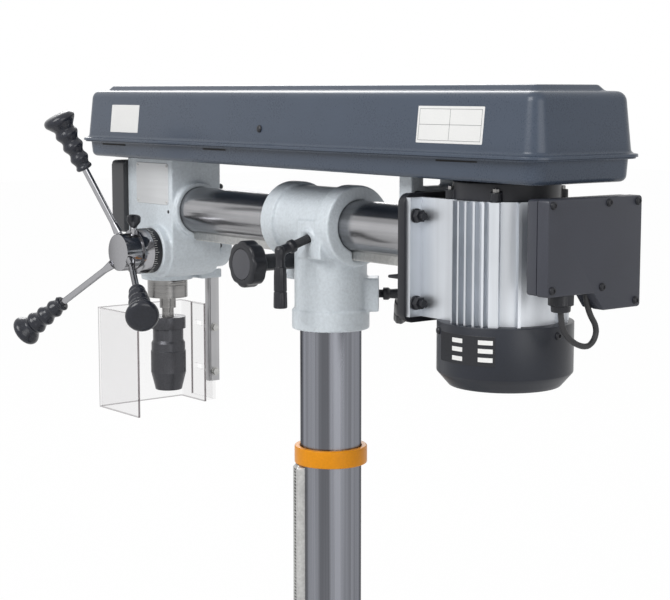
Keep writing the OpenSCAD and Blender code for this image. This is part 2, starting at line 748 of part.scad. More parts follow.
module cover_tray() color(slate) at_ram() difference() {
  union() {
    cover_plate(tray_inset, [tray_bottom, cover_joint]);
    cover_plate(0, [cover_joint - rim_t, cover_joint]);
  }
  cover_plate(tray_inset + cover_sheet, [tray_bottom + cover_sheet, cover_joint + 1]);
  for (y = [-spindle_reach, motor_y]) translate([0, y]) z_rod(shaft_slot_r, tray_bottom - 1, cover_joint);
}

// The lid's sides lean in to a soft shoulder under a raised panel
module lid_body(inset) hull() {
  for (x = [-1, 1], y = [-cover_nose, cover_tail]) {
    s = sign(y);
    translate([x * (cover_half - lid_inset - inset - 18), y - s * (lid_inset + inset + 18), 0])
      z_rod(18, cover_joint - 1, cover_joint + 1, $fn = 32);
    translate([x * (cover_half - lid_inset - lid_draft - inset - 14),
        y - s * (lid_inset + lid_draft + inset + 14), lid_shoulder - inset - 12])
      rotate_extrude($fn = 32) polygon(concat([[0, 0]],
        [for (a = [0:15:90]) [2 + 12 * cos(a), 12 * sin(a)]], [[0, 12]]));
  }
}
module cover_lid() color(slate) at_ram() difference() {
  union() {
    cover_plate(0, [cover_joint, cover_joint + rim_t]);
    difference() {
      lid_body(0);
      cover_plate(-5, [cover_joint - 5, cover_joint + 0.5]);
    }
    slab([-panel_half, panel_half], [-cover_nose + cover_half - panel_half, cover_tail - cover_half + panel_half],
      12, [lid_shoulder - 1, lid_crown]);
    for (y = hinge_y) translate([hinge_x, y, hinge_z]) {
      y_rod(hinge_r, -20, 20);
      block([0, hinge_r + 3], [-20, 20], [-hinge_r, -hinge_r + rim_t - gap]);
    }
  }
  lid_body(cover_sheet);
  for (y = hinge_y) translate([hinge_x, y, hinge_z]) y_rod(1.5 + fit, -21, 21);
}

hinge_y = [-300, 0, 260];
module lid_hinge() color(slate) at_ram() for (y = hinge_y) translate([hinge_x, y, hinge_z]) {
  y_rod(1.5, -32, 32);
  for (s = [-1, 1]) translate([0, s * 27, 0]) {
    y_rod(hinge_r, -6, 6);
    block([-hinge_r, hinge_r + gap], [-6, 6], [-hinge_r - gap - rim_t, -hinge_r - gap]);
    block([-hinge_r, hinge_r], [-6, 6], [-hinge_r - gap, 0]);
  }
}

// Belt drive
module step_pulley(flip, bore) difference() {
  rotate_extrude() polygon(concat([[0, 0]], [for (k = [0:pulley_steps - 1]) let (
    r = pulley_r - (flip ? pulley_steps - 1 - k : k) * pulley_step,
    z = k * pulley_pitch
  ) each [[r, z], [r, z + 2], [r - groove_depth, z + 4], [r - groove_depth, z + pulley_pitch - 4],
    [r, z + pulley_pitch - 2], [r, z + pulley_pitch]]], [[0, pulley_h]]));
  z_rod(bore, -1, pulley_h + 1);
}
module v_belt() color(black) at_ram() translate([0, 0, belt_z - 2.5]) linear_extrude(5) difference() {
  union() {
    for (y = [-spindle_reach, motor_y]) translate([0, y]) circle(belt_in + belt_t);
    translate([-belt_in - belt_t, -spindle_reach]) square([2 * belt_in + 2 * belt_t, spindle_reach + motor_y]);
  }
  for (y = [-spindle_reach, motor_y]) translate([0, y]) circle(belt_in);
  translate([-belt_in, -spindle_reach]) square([2 * belt_in, spindle_reach + motor_y]);
}

module spindle_pulley() color(aluminium) at_spindle() difference() {
  union() {
    z_rod(pulley_sleeve_r, quill_top + 4, pulley_bottom + pulley_h);
    translate([0, 0, pulley_bottom]) step_pulley(false, pulley_sleeve_r - 1);
  }
  z_rod(spindle_r + fit, quill_top, pulley_bottom + pulley_h + 1);
}
module pulley_bearings() color(steel) at_spindle() for (z = [head_top - 24, head_top - 12])
  z_tube(bearing_r, pulley_sleeve_r + fit, z, z + 11.8);

// Quill, spindle and chuck
module quill() color(steel) at_spindle() difference() {
  z_rod(quill_r, -quill_drop, quill_top);
  z_rod(spindle_r + 4, -quill_drop - 1, quill_top + 1);
  z_rod(quill_bearing_r, -quill_drop + 4, -quill_drop + 16);
  z_rod(quill_bearing_r, quill_top - 16, quill_top - 4);
  translate([0, 0, -feed_drop]) difference() {
    block([-30, 30], [quill_pitch_y - gear_dedendum(feed_pinion_r), 40], [-52, quill_travel + 12]);
    translate([-31, quill_pitch_y, 0]) rotate([90, 0, 90]) linear_extrude(62) rotate(-90) mirror([1, 0])
      polygon(rack_points(feed_pinion_r, -52, quill_travel + 12, 1));
  }
}
module quill_bearings() color(steel) at_spindle() for (z = [-quill_drop + 4, quill_top - 16])
  z_tube(quill_bearing_r, spindle_r + 2 + fit, z, z + 12);

module spindle() color(steel) at_spindle() {
  z_rod(spindle_r, chuck_top - 20, pulley_bottom + pulley_h - 2);
  z_rod(spindle_r + 2, -quill_drop + gap, quill_top - 2);
  z_rod(11, -quill_drop - 15, -quill_drop - gap);
}

module chuck_body() color(black) at_spindle() difference() {
  union() {
    z_rod(chuck_r, chuck_top - 16, chuck_top);
    z_rod(chuck_r - 5, chuck_end + 4, chuck_top - 13);
  }
  z_rod(spindle_r, chuck_top - 20, chuck_top + 1);
  z_rod(6.5, chuck_end, chuck_end + 40);
  for (a = [0:120:240]) rotate(a) translate([jaw_foot_r, 0, chuck_end]) rotate([0, jaw_tilt, 0])
    z_rod(jaw_r + fit, -5, jaw_drop + jaw_len + jaw_travel + 2);
}
module chuck_sleeve() color(black) at_spindle() difference() {
  rotate_extrude() polygon([
    [0, chuck_end], [18, chuck_end], [18.6, chuck_end + 3.5], [chuck_r, chuck_end + 24],
    [chuck_r, chuck_end + 53], [chuck_r - 0.8, chuck_end + 53.6], [chuck_r - 0.8, chuck_end + 64],
    [20.6, chuck_end + 68], [20.6, chuck_top - 16 - gap], [0, chuck_top - 16 - gap]
  ]);
  z_rod(chuck_r - 5 + fit, chuck_end + 3.5, chuck_top);
  z_rod(12, chuck_end - 1, chuck_end + 5);
}
module chuck_jaw(turn) color(steel) at_spindle() rotate(turn)
  translate([jaw_foot_r, 0, chuck_end]) rotate([0, jaw_tilt, 0]) z_rod(jaw_r, jaw_drop, jaw_drop + jaw_len);
module chuck_jaw_1() chuck_jaw(0);
module chuck_jaw_2() chuck_jaw(120);
module chuck_jaw_3() chuck_jaw(240);

// Feed
module at_lever(k) at_feed() translate([0, 0, lever_root_x]) rotate(90 + lever_turn + 120 * k)
  rotate([0, 90 - lever_cone, 0]) children();

module feed_shaft() color(steel) at_feed() {
  z_rod(feed_shaft_r, -cap_x, lever_root_x - 4);
  z_rod(5, -cap_end - 12, -cap_x + 1);
  translate([0, 0, -14]) linear_extrude(28) rotate(90) polygon(gear_points(feed_pinion_r));
}
module depth_dial() color(black) at_feed() {
  z_tube(dial_r, feed_shaft_r, boss_x + gap, boss_x + 12);
  rotate(180) translate([dial_r - 3, 0, boss_x + 6]) rotate([0, 90, 0]) z_rod(4, 0, 12);
}
module feed_hub() color(aluminium) difference() {
  at_feed() {
    z_rod(dial_r, boss_x + 12, boss_x + 27);
    z_rod(hub_r, boss_x + 26, hub_x);
  }
  at_feed() z_rod(feed_shaft_r, boss_x, lever_root_x - 4);
  for (k = [0:2]) at_lever(k) z_rod(lever_d / 2, lever_seat, 60);
}
module feed_levers() color(aluminium) {
  for (k = [0:2]) at_lever(k) {
    z_rod(lever_d / 2, lever_seat, lever_len - 12);
    translate([0, 0, 29.5]) cylinder(r1 = 0.72 * lever_d, r2 = lever_d / 2, h = 14);
  }
}
module lever_grips() color(black) for (k = [0:2]) at_lever(k) translate([0, 0, lever_len - grip_len])
  rotate_extrude() polygon([
    [lever_d / 2, 0], [9.5, 0], [10.5, 3], [9, 8], [12, 16], [9.5, 24], [13.5, 33], [11, 41],
    [15, 50], [12.5, 58], [grip_r - 2, grip_len - 10], [grip_r, grip_len - 5], [grip_r - 2, grip_len],
    [0, grip_len], [0, grip_len - 12], [lever_d / 2, grip_len - 12]
  ]);

// Guard
guard_bend = 4;
bar_front = pivot_y - bar_t / 2;
wing_end = pivot_y - 33;
strip_front = pivot_y - 61;
guard_screw_z = [guard_top - 28, guard_top - 89];
// The short left wing is fixed to an angle strip, and the strip's back leg lies against the bar
module guard_sheet() color([0.8, 0.8, 0.85, 0.4]) at_ram() difference() {
  union() {
    translate([0, 0, guard_top - guard_h]) linear_extrude(guard_h) difference() {
      round_square([guard_left - guard_t, guard_right], [guard_front, pivot_y + 40], guard_bend);
      round_square([guard_left, guard_right - guard_t], [guard_front + guard_t, pivot_y + 60],
        guard_bend - guard_t);
      translate([guard_left - 20, wing_end]) square([guard_right - guard_left - 20, 80]);
      translate([0, guard_front + 104]) square([guard_right + 20, 80]);
    }
    block([guard_left, guard_left + guard_t], [strip_front, bar_front], [guard_top - guard_h + 8, guard_top]);
    block([guard_left, guard_left + bar_w], [bar_front - guard_t, bar_front],
      [guard_top - guard_h + 8, guard_top]);
  }
  for (z = guard_screw_z) {
    translate([pivot_x, 0, z]) y_rod(3, bar_front - guard_t - 1, bar_front + 1);
    block([guard_left - guard_t - 1, guard_left + guard_t + 1], [strip_front + 7, wing_end - 2],
      [z - 3.5, z + 3.5]);
  }
}
module guard_bar() color(aluminium) at_ram() translate([pivot_x, pivot_y]) difference() {
  union() {
    block([-bar_w / 2, bar_w / 2], [-bar_t / 2, bar_t / 2], [guard_screw_z[1] - 13, bar_top]);
    z_rod(4, bar_top - 1, -head_drop - 1);
  }
  for (z = guard_screw_z) translate([0, 0, z]) y_rod(2.5, -bar_t / 2 - 1, bar_t / 2 + 1);
}
module guard_screws() color(steel) at_ram() for (z = guard_screw_z) translate([pivot_x, pivot_y, z]) {
  y_rod(2.5, -bar_t / 2 - guard_t, bar_t / 2);
  y_rod(5, -bar_t / 2 - guard_t - 3, -bar_t / 2 - guard_t);
  y_rod(6, bar_t / 2, bar_t / 2 + 1.2);
  translate([0, bar_t / 2 + 1.2, 0]) rotate([-90, 0, 0]) cylinder(r = 5, h = 3.5, $fn = 6);
}

// Motor
module motor_plate() color(black) at_ram() {
  translate([0, plate_front + plate_t, 0]) rotate([90, 0, 0])
    slab([-plate_half, plate_half], [plate_bottom, plate_top], 12, [0, plate_t]);
  for (x = [-1, 1]) translate([x * slide_x, 0, slide_z]) y_rod(slide_r, bracket_y + 1, plate_front + 1);
}
module motor_housing() color(aluminium) at_motor() {
  block([-22, 22], [motor_core_r - 4, box_face_y - box_depth - motor_y], [box_step + 10, bell_bottom - 4]);
  translate([0, 0, housing_bottom]) linear_extrude(bell_bottom - housing_bottom) difference() {
    union() {
      circle(motor_core_r);
      for (s = [0, 1]) mirror([s, 0]) {
        for (k = [0:fins - 1]) rotate(lug_turn - 10 - fin_turn * k) translate([0, -1.2]) square([motor_r, 2.4]);
        rotate(lug_turn) translate([0, -5]) square([motor_r, 10]);
        rotate(lug_turn + 23) translate([0, -1.6]) square([motor_r, 3.2]);
      }
      for (s = [-1, 1]) {
        translate([s > 0 ? foot_x[0] - 4 : -foot_x[0] - 3, plate_front + plate_t - motor_y])
          square([7, motor_y - plate_front - plate_t - 20]);
        translate([s > 0 ? foot_x[0] : -foot_x[1], plate_front + plate_t - motor_y])
          square([foot_x[1] - foot_x[0], 6.5]);
      }
    }
    circle(stator_out);
  }
}
module stator() color(steel) at_motor() z_tube(stator_out, stator_in, housing_bottom + 12, bell_bottom - 12);
module motor_end_bell() color(black) at_motor() difference() {
  union() {
    z_rod(motor_core_r - 1, bell_bottom, bell_top);
    for (a = [lug_turn, 180 - lug_turn, 180 + lug_turn, -lug_turn]) rotate(a) translate([motor_core_r + 1, 0])
      z_rod(6, bell_bottom, bell_bottom + 10);
  }
  z_rod(shaft_r + fit, bell_bottom - 1, bell_top + 1);
  z_rod(stator_out, bell_bottom - 1, bell_top - 6);
}
module fan_cowl() color(black) at_motor() difference() {
  rotate_extrude() polygon([
    [0, -cowl_drop], [cowl_r - 13, -cowl_drop], [cowl_r, -cowl_drop + 15], [cowl_r, cowl_top], [0, cowl_top]
  ]);
  rotate_extrude() polygon([
    [0, -cowl_drop + 3], [cowl_r - 15, -cowl_drop + 3], [cowl_r - 3, -cowl_drop + 16],
    [cowl_r - 3, cowl_top - 6], [0, cowl_top - 6]
  ]);
  z_rod(shaft_r + fit, cowl_top - 7, cowl_top + 1);
  for (a = [0:30:330]) rotate(a) block([16, cowl_r - 26], [-2.5, 2.5], [-cowl_drop - 1, -cowl_drop + 4]);
}
box_face = [[box_half, box_top], [-box_half, box_top], [-box_half, box_low], [-box_half / 5, box_low],
  [0.7, box_step], [box_half, box_step]];
module terminal_box() color(black) at_ram() difference() {
  translate([0, box_face_y, 0]) rotate([90, 0, 0]) linear_extrude(box_depth) polygon(box_face);
  block([-box_half + 4, box_half - 4], [box_face_y - box_depth + 4, box_face_y - 4],
    [box_step + 4, box_top - 4]);
}
box_screw_xz = [[60, 46], [-18, 46], [-60, 46], [60, -36], [-10, -37], [-59, -54]];
module motor_screws() color(steel) at_ram() {
  for (p = box_screw_xz) translate([p[0], 0, p[1]]) y_rod(3.5, box_face_y, box_face_y + 2);
  for (x = [-1, 1], z = [25, -67]) translate([x * (foot_x[1] - 7.7), plate_front + plate_t + 6.5, z]) {
    y_rod(7.6, 0, 2);
    translate([0, 2, 0]) rotate([-90, 0, 0]) cylinder(r = 7, h = 7, $fn = 6);
    y_rod(4, 8, 14);
  }
}
module cable_gland() color(black) at_ram() translate([gland_x, gland_y, 0]) {
  translate([0, 0, box_step - 8]) cylinder(r = 11, h = 8, $fn = 6);
  z_rod(8.5, box_step - gland_h, box_step - 7);
}
module motor_cable() color(black) at_ram() {
  n = len(cable_route);
  polyhedron(
    points = [for (i = [0:n - 1]) each cable_ring(i)],
    faces = concat(
      [[for (k = [0:cable_sides - 1]) k]],
      [for (i = [0:n - 2], k = [0:cable_sides - 1]) let (
        a = i * cable_sides + k,
        b = i * cable_sides + (k + 1) % cable_sides
      ) each [[a, a + cable_sides, b], [b, a + cable_sides, b + cable_sides]]],
      [[for (k = [cable_sides - 1:-1:0]) (n - 1) * cable_sides + k]]
    )
  );
}
module rotor() color(steel) at_motor() {
  z_rod(shaft_r, -cowl_drop + 12, pulley_bottom + pulley_h);
  z_rod(rotor_r, housing_bottom + 14, bell_bottom - 14);
  z_rod(16, -cowl_drop + 14, -cowl_drop + 34);
  for (a = [0:45:315]) rotate(a) block([10, cowl_r - 24], [-1.5, 1.5], [-cowl_drop + 14, -cowl_drop + 34]);
}
module motor_pulley() color(aluminium) at_motor() translate([0, 0, pulley_bottom]) step_pulley(true, shaft_r);

base_casting();
column_flange();
flange_bolts();
column_tube();
rack_ring();
column_rack();
table_bracket();
table_plate();
table_lock_lever();
table_crank();
crank_grip();
cross_sleeve();
ram_lock_lever();
column_lock_lever();
ram_feed_knob();
ram_pinion();
ram_rack();
ram_tube();
head_casting();
rear_bracket();
bracket_loop();
spring_cap();
cap_nuts();
return_spring();
switch_box();
start_button();
stop_button();
cover_tray();
cover_lid();
lid_hinge();
v_belt();
spindle_pulley();
pulley_bearings();
quill();
quill_bearings();
spindle();
chuck_body();
chuck_sleeve();
chuck_jaw_1();
chuck_jaw_2();
chuck_jaw_3();
feed_shaft();
feed_hub();
depth_dial();
feed_levers();
lever_grips();
guard_sheet();
guard_bar();
guard_screws();
motor_plate();
motor_housing();
stator();
motor_end_bell();
fan_cowl();
terminal_box();
motor_screws();
cable_gland();
motor_cable();
rotor();
motor_pulley();
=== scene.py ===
import json
import math

import bmesh
import bpy
import numpy as np
from mathutils import Matrix, Vector


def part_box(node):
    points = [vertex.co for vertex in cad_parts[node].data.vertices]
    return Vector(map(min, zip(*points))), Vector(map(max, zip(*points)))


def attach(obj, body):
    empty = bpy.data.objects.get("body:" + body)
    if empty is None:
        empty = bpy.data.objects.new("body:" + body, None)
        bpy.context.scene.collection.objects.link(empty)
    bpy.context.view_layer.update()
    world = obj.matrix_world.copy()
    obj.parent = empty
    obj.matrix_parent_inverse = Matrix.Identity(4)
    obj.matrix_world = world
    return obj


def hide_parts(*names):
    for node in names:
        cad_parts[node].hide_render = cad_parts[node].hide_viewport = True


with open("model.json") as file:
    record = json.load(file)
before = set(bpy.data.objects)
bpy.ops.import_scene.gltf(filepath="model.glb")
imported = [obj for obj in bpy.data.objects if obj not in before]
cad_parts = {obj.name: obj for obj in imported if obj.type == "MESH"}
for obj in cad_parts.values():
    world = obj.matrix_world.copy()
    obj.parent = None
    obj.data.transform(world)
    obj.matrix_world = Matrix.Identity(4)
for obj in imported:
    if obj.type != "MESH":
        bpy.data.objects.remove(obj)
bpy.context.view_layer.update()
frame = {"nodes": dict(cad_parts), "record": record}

# The photographer's place: a long lens a little above the arm, behind the machine's right side.
# The camera looks down slightly, and the picture's middle falls on the column below the arm.
view_azimuth = math.radians(141.72)
view_pitch = math.radians(7.24)
view_distance = 1.95178
picture_middle = Vector((-0.004, 0.003, 0.689))
away = Vector((
    math.sin(view_azimuth) * math.cos(view_pitch),
    -math.cos(view_azimuth) * math.cos(view_pitch),
    math.sin(view_pitch),
))
sideways = Vector((math.cos(view_azimuth), math.sin(view_azimuth), 0))
upward = away.cross(sideways)
camera_data = bpy.data.cameras.new("camera")
camera_data.lens = 88.56
camera_data.sensor_width = 36
camera_data.sensor_fit = "HORIZONTAL"
camera_data.clip_end = 50
camera = bpy.data.objects.new("camera", camera_data)
camera.matrix_world = Matrix.Translation(picture_middle + away * view_distance) @ Matrix(
    (sideways, upward, away)).transposed().to_4x4()
bpy.context.collection.objects.link(camera)
bpy.context.scene.camera = camera


# The studio: a seamless pale floor, a white surround and three broad soft lamps.
# Floor and surround are white to the lens and in reflections, and light the machine gently.
def shader_node(tree, kind, values):
    """A new shader node of the kind, with a value set on each named input."""
    made = tree.nodes.new("ShaderNode" + kind)
    for socket, value in values.items():
        made.inputs[socket].default_value = value
    return made


def seen_or_mirrored(tree):
    """Light Path's camera, glossy and transmission rays joined into one switch of 0 or 1."""
    path = tree.nodes.new("ShaderNodeLightPath")
    first = tree.nodes.new("ShaderNodeMath")
    first.operation = "MAXIMUM"
    tree.links.new(path.outputs["Is Camera Ray"], first.inputs[0])
    tree.links.new(path.outputs["Is Glossy Ray"], first.inputs[1])
    either = tree.nodes.new("ShaderNodeMath")
    either.operation = "MAXIMUM"
    tree.links.new(first.outputs[0], either.inputs[0])
    tree.links.new(path.outputs["Is Transmission Ray"], either.inputs[1])
    return either.outputs[0]


world = bpy.data.worlds.new("white surround")
bpy.context.scene.world = world
world.use_nodes = True
surround = world.node_tree
surround.nodes["Background"].inputs["Color"].default_value = (1, 1, 1, 1)
surround_light = shader_node(surround, "MapRange", {"To Min": 0.34, "To Max": 1.0})
surround.links.new(seen_or_mirrored(surround), surround_light.inputs["Value"])
surround.links.new(surround_light.outputs["Result"], surround.nodes["Background"].inputs["Strength"])

floor_mesh = bpy.data.meshes.new("studio_floor")
floor_mesh.from_pydata([(-14, -14, 0), (14, -14, 0), (14, 14, 0), (-14, 14, 0)], [], [(0, 1, 2, 3)])
floor = bpy.data.objects.new("studio_floor", floor_mesh)
bpy.context.collection.objects.link(floor)
floor_paper = bpy.data.materials.new("pale paper")
floor_paper.use_nodes = True
paper = floor_paper.node_tree
paper.nodes["Principled BSDF"].inputs["Base Color"].default_value = (0.82, 0.82, 0.82, 1)
paper.nodes["Principled BSDF"].inputs["Roughness"].default_value = 0.9
glow = paper.nodes.new("ShaderNodeEmission")
share = paper.nodes.new("ShaderNodeMath")
share.operation = "MULTIPLY"
share.inputs[1].default_value = 0.985
paper.links.new(seen_or_mirrored(paper), share.inputs[0])
mixed = paper.nodes.new("ShaderNodeMixShader")
paper.links.new(share.outputs[0], mixed.inputs["Fac"])
paper.links.new(paper.nodes["Principled BSDF"].outputs[0], mixed.inputs[1])
paper.links.new(glow.outputs[0], mixed.inputs[2])
paper.links.new(mixed.outputs[0], paper.nodes["Material Output"].inputs["Surface"])
floor_mesh.materials.append(floor_paper)

lamp_aim = Vector((0, 0, 0.75))
for lamp_name, lamp_place, lamp_size, lamp_power in [
    ("key_lamp", (2.4, 0.2, 2.6), 1.6, 68),
    ("fill_lamp", (0.6, 3.2, 1.5), 2.0, 30),
    ("front_lamp", (-1.6, -2.6, 2.4), 1.8, 45),
]:
    lamp_data = bpy.data.lights.new(lamp_name, "AREA")
    lamp_data.size = lamp_size
    lamp_data.energy = lamp_power
    lamp = bpy.data.objects.new(lamp_name, lamp_data)
    lamp.location = lamp_place
    lamp.rotation_euler = (lamp_aim - Vector(lamp_place)).to_track_quat("-Z", "Y").to_euler()
    bpy.context.collection.objects.link(lamp)
bpy.context.scene.view_settings.view_transform = "Standard"

# The motor's short lead: black rubber, 6 mm thick, from the gland under the terminal box.
# It hangs in one loop and goes back into the box by the slanted edge.
nodes = frame["nodes"]
body_of = {node: body for body, held in frame["record"]["behaviour"]["bodies"].items() for node in held}
ram_low, ram_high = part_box("ram_tube")
ram_z = (ram_low.z + ram_high.z) / 2


def finish(name, color, metal=0.0, rough=0.4, grain=400.0, stretch=(1, 1, 1), vary=0.08, rough_vary=0.08,
           bump=0.0, depth=0.0004, blotch=0.4, coat=0.0, shine=0.5, rim=1.0):
    """A finish: fine noise, stretched along the brushed grain (on the ram and column into broad painted
    reflection bands), and broad blotches shift colour, gloss and height.
    """
    material = bpy.data.materials.new(name)
    material.use_nodes = True
    tree = material.node_tree
    shader = tree.nodes["Principled BSDF"]
    shader.inputs["Metallic"].default_value = metal
    shader.inputs["Specular IOR Level"].default_value = shine
    shader.inputs["Specular Tint"].default_value = (rim, rim, rim, 1)
    shader.inputs["Coat Weight"].default_value = coat
    shader.inputs["Coat Roughness"].default_value = 0.15
    where = tree.nodes.new("ShaderNodeTexCoord")
    brushing_and_painted_bands = shader_node(tree, "Mapping", {"Scale": stretch})
    tree.links.new(where.outputs["Object"], brushing_and_painted_bands.inputs["Vector"])
    fine = shader_node(tree, "TexNoise", {"Scale": grain, "Detail": 4})
    tree.links.new(brushing_and_painted_bands.outputs["Vector"], fine.inputs["Vector"])
    broad = shader_node(tree, "TexNoise", {"Scale": 16})
    tree.links.new(where.outputs["Object"], broad.inputs["Vector"])
    both = shader_node(tree, "Mix", {"Factor": blotch})
    tree.links.new(fine.outputs["Fac"], both.inputs["A"])
    tree.links.new(broad.outputs["Fac"], both.inputs["B"])
    shades = tree.nodes.new("ShaderNodeValToRGB")
    shades.color_ramp.elements[0].position = 0.36
    shades.color_ramp.elements[0].color = (*[c * (1 - vary) for c in color], 1)
    shades.color_ramp.elements[1].position = 0.64
    shades.color_ramp.elements[1].color = (*[min(c * (1 + vary), 1) for c in color], 1)
    tree.links.new(both.outputs["Result"], shades.inputs["Fac"])
    tree.links.new(shades.outputs["Color"], shader.inputs["Base Color"])
    gloss = shader_node(tree, "MapRange", {
        "From Min": 0.3, "From Max": 0.7,
        "To Min": max(rough - rough_vary, 0.03), "To Max": min(rough + rough_vary, 1),
    })
    tree.links.new(both.outputs["Result"], gloss.inputs["Value"])
    tree.links.new(gloss.outputs["Result"], shader.inputs["Roughness"])
    if bump:
        relief = shader_node(tree, "Bump", {"Strength": bump, "Distance": depth})
        tree.links.new(fine.outputs["Fac"], relief.inputs["Height"])
        tree.links.new(relief.outputs["Normal"], shader.inputs["Normal"])
    return material


def skin(rings, caps=True, closed=False):
    """Corners and faces over rings of equal count; flat caps end it, or the last ring meets the first."""
    count, sides = rings.shape[:2]
    index = np.arange(count * sides).reshape(count, sides)
    rows = np.arange(count if closed else count - 1)
    after = (rows + 1) % count
    beside = np.roll(index, -1, axis=1)
    faces = np.stack([index[rows], beside[rows], beside[after], index[after]], -1).reshape(-1, 4).tolist()
    if caps and not closed:
        faces += [index[0][::-1].tolist(), index[-1].tolist()]
    return rings.reshape(-1, 3), faces


def joined(*shells):
    """Several shells of corners and faces as one."""
    corners, faces, start = [], [], 0
    for points, polygons in shells:
        corners.append(points)
        faces += [[i + start for i in polygon] for polygon in polygons]
        start += len(points)
    return np.vstack(corners), faces


def placed(name, mesh, material, body, node=None):
    """A mesh in one material as a new piece that rides on a body; it may take a node's place."""
    mesh.materials.clear()
    mesh.materials.append(material)
    made = bpy.data.objects.new(name, mesh)
    bpy.context.collection.objects.link(made)
    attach(made, body)
    if node:
        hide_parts(node)
    return made


def piece(name, shell, material, body, node=None, sharp=38):
    """A placed shell: its faces turned outwards, its edges smooth up to an angle in degrees."""
    mesh = bpy.data.meshes.new(name)
    mesh.from_pydata(shell[0].tolist(), [], shell[1])
    shape = bmesh.new()
    shape.from_mesh(mesh)
    bmesh.ops.remove_doubles(shape, verts=shape.verts, dist=1e-7)
    bmesh.ops.recalc_face_normals(shape, faces=shape.faces)
    shape.to_mesh(mesh)
    shape.free()
    mesh.shade_smooth()
    mesh.set_sharp_from_angle(angle=math.radians(sharp))
    return placed(name, mesh, material, body, node)


def smooth_path(points, steps):
    """A Catmull-Rom curve through the points, in equal steps on each span."""
    points = np.asarray(points, float)
    ends = np.vstack([2 * points[0] - points[1], points, 2 * points[-1] - points[-2]])
    a, b, c, d = ends[:-3, None], ends[1:-2, None], ends[2:-1, None], ends[3:, None]
    t = (np.arange(steps) / steps)[None, :, None]
    spans = 0.5 * (2 * b + (c - a) * t + (2 * a - 5 * b + 4 * c - d) * t**2 + (3 * b - a - 3 * c + d) * t**3)
    return np.vstack([spans.reshape(-1, points.shape[1]), points[-1:]])


def tube(path, radius, across, sides=16):
    """Rings round a path's points; across is square to the whole path, so that the rings never twist."""
    path = np.asarray(path, float)
    along = np.gradient(path, axis=0)
    along /= np.linalg.norm(along, axis=1)[:, None]
    second = np.cross(along, across)
    second /= np.linalg.norm(second, axis=1)[:, None]
    turn = (np.arange(sides) * 2 * np.pi / sides)[None, :, None]
    spoke = np.cos(turn) * np.asarray(across, float) + np.sin(turn) * second[:, None]
    return path[:, None] + radius * spoke


cable_rubber = finish("cable rubber", (0.02, 0.02, 0.022), rough=0.5, grain=900, bump=0.15, depth=0.0002)
cable_y = 0.405
cable_xz = [
    (32, -60), (31, -68), (28, -77), (21, -86), (11, -93), (0, -97),
    (-9, -97), (-16, -92), (-19, -84), (-17, -76), (-12, -69), (-8, -62), (-5, -54), (-3, -47), (-3, -40),
]
cable_path = smooth_path([(x / 1000, cable_y, ram_z + z / 1000) for x, z in cable_xz], 3)
cable = piece("motor_lead", skin(tube(cable_path, 0.003, (0, 1, 0))), cable_rubber, "motor",
              node="motor_cable")

# Base and column flange: grey iron castings under light paint, bolted together by four hex bolts.
# Pouring leaves their edges soft and their corners filled, with a faint grain under the paint.
cast_paint = finish("cast paint", (0.6, 0.65, 0.69), rough=0.42, grain=300, vary=0.06, bump=0.8, depth=0.0009,
                    blotch=0.2, coat=0.15)


def merged_copy(name, node):
    """A copy of a node whose loose triangles are merged at their corners."""
    mesh = nodes[node].data.copy()
    shape = bmesh.new()
    shape.from_mesh(mesh)
    bmesh.ops.remove_doubles(shape, verts=shape.verts, dist=1e-6)
    bmesh.ops.dissolve_degenerate(shape, edges=shape.edges, dist=1e-6)
    shape.to_mesh(mesh)
    shape.free()
    copy = bpy.data.objects.new(name, mesh)
    bpy.context.collection.objects.link(copy)
    return copy


def reworked(name, node, material, modifiers):
    """A merged copy of a node with the modifiers worked into its mesh, placed as a piece for the node."""
    copy = merged_copy(name + "_copy", node)
    for kind, settings in modifiers:
        modifier = copy.modifiers.new(kind.lower(), kind)
        for setting, value in settings.items():
            setattr(modifier, setting, value)
    mesh = bpy.data.meshes.new_from_object(copy.evaluated_get(bpy.context.evaluated_depsgraph_get()))
    bpy.data.objects.remove(copy)
    mesh.name = name
    return placed(name, mesh, material, body_of[node], node)


def poured(name, node, cell, rounds, material):
    """A casting's skin: the node in small cubic cells, each corner then drawn to its neighbours' mean."""
    made = reworked(name, node, material, [
        ("REMESH", {"mode": "VOXEL", "voxel_size": cell}),
        ("SMOOTH", {"factor": 0.5, "iterations": rounds}),
    ])
    made.data.shade_smooth()
    return made


def eased(name, node, width, material):
    """A machined or moulded piece: the node with its sharp edges broken by small rounds, its flats kept."""
    made = reworked(name, node, material, [
        ("BEVEL", {"limit_method": "ANGLE", "angle_limit": math.radians(34), "width": width, "segments": 2}),
    ])
    made.data.shade_smooth()
    made.data.set_sharp_from_angle(angle=math.radians(30))
    return made


def coat_nodes(material, *cad_nodes):
    """Puts a finish on nodes that keep their own shape."""
    for node in cad_nodes:
        nodes[node].data.materials.clear()
        nodes[node].data.materials.append(material)


zinc = finish("zinc plate", (0.5, 0.5, 0.49), metal=1, rough=0.38, grain=300, vary=0.15)
poured("base_skin", "base_casting", 0.0028, 4, cast_paint)
poured("flange_skin", "column_flange", 0.0018, 4, cast_paint)
coat_nodes(zinc, "flange_bolts")

# Column: a turned steel tube, brushed along its length, with a toothed rack held by an orange ring.
# The ring sits on the tube at the rack's upper end, its edges rounded over under bright paint.
# Broad light and dark bands along the column are painted into its colour as painted reflections, laid over
# the fine brushing.
column_steel_with_painted_bands = finish("brushed column steel with painted reflection bands", (0.21, 0.216, 0.24), metal=1, rough=0.24, grain=95,
                      stretch=(1, 1, 0.004), vary=0.42, blotch=0.0, bump=0.04, rim=0.35)
orange_paint = finish("orange paint", (0.68, 0.25, 0.002), rough=0.36, vary=0.07, bump=0.08, shine=0.25)
coat_nodes(column_steel_with_painted_bands, "column_tube")


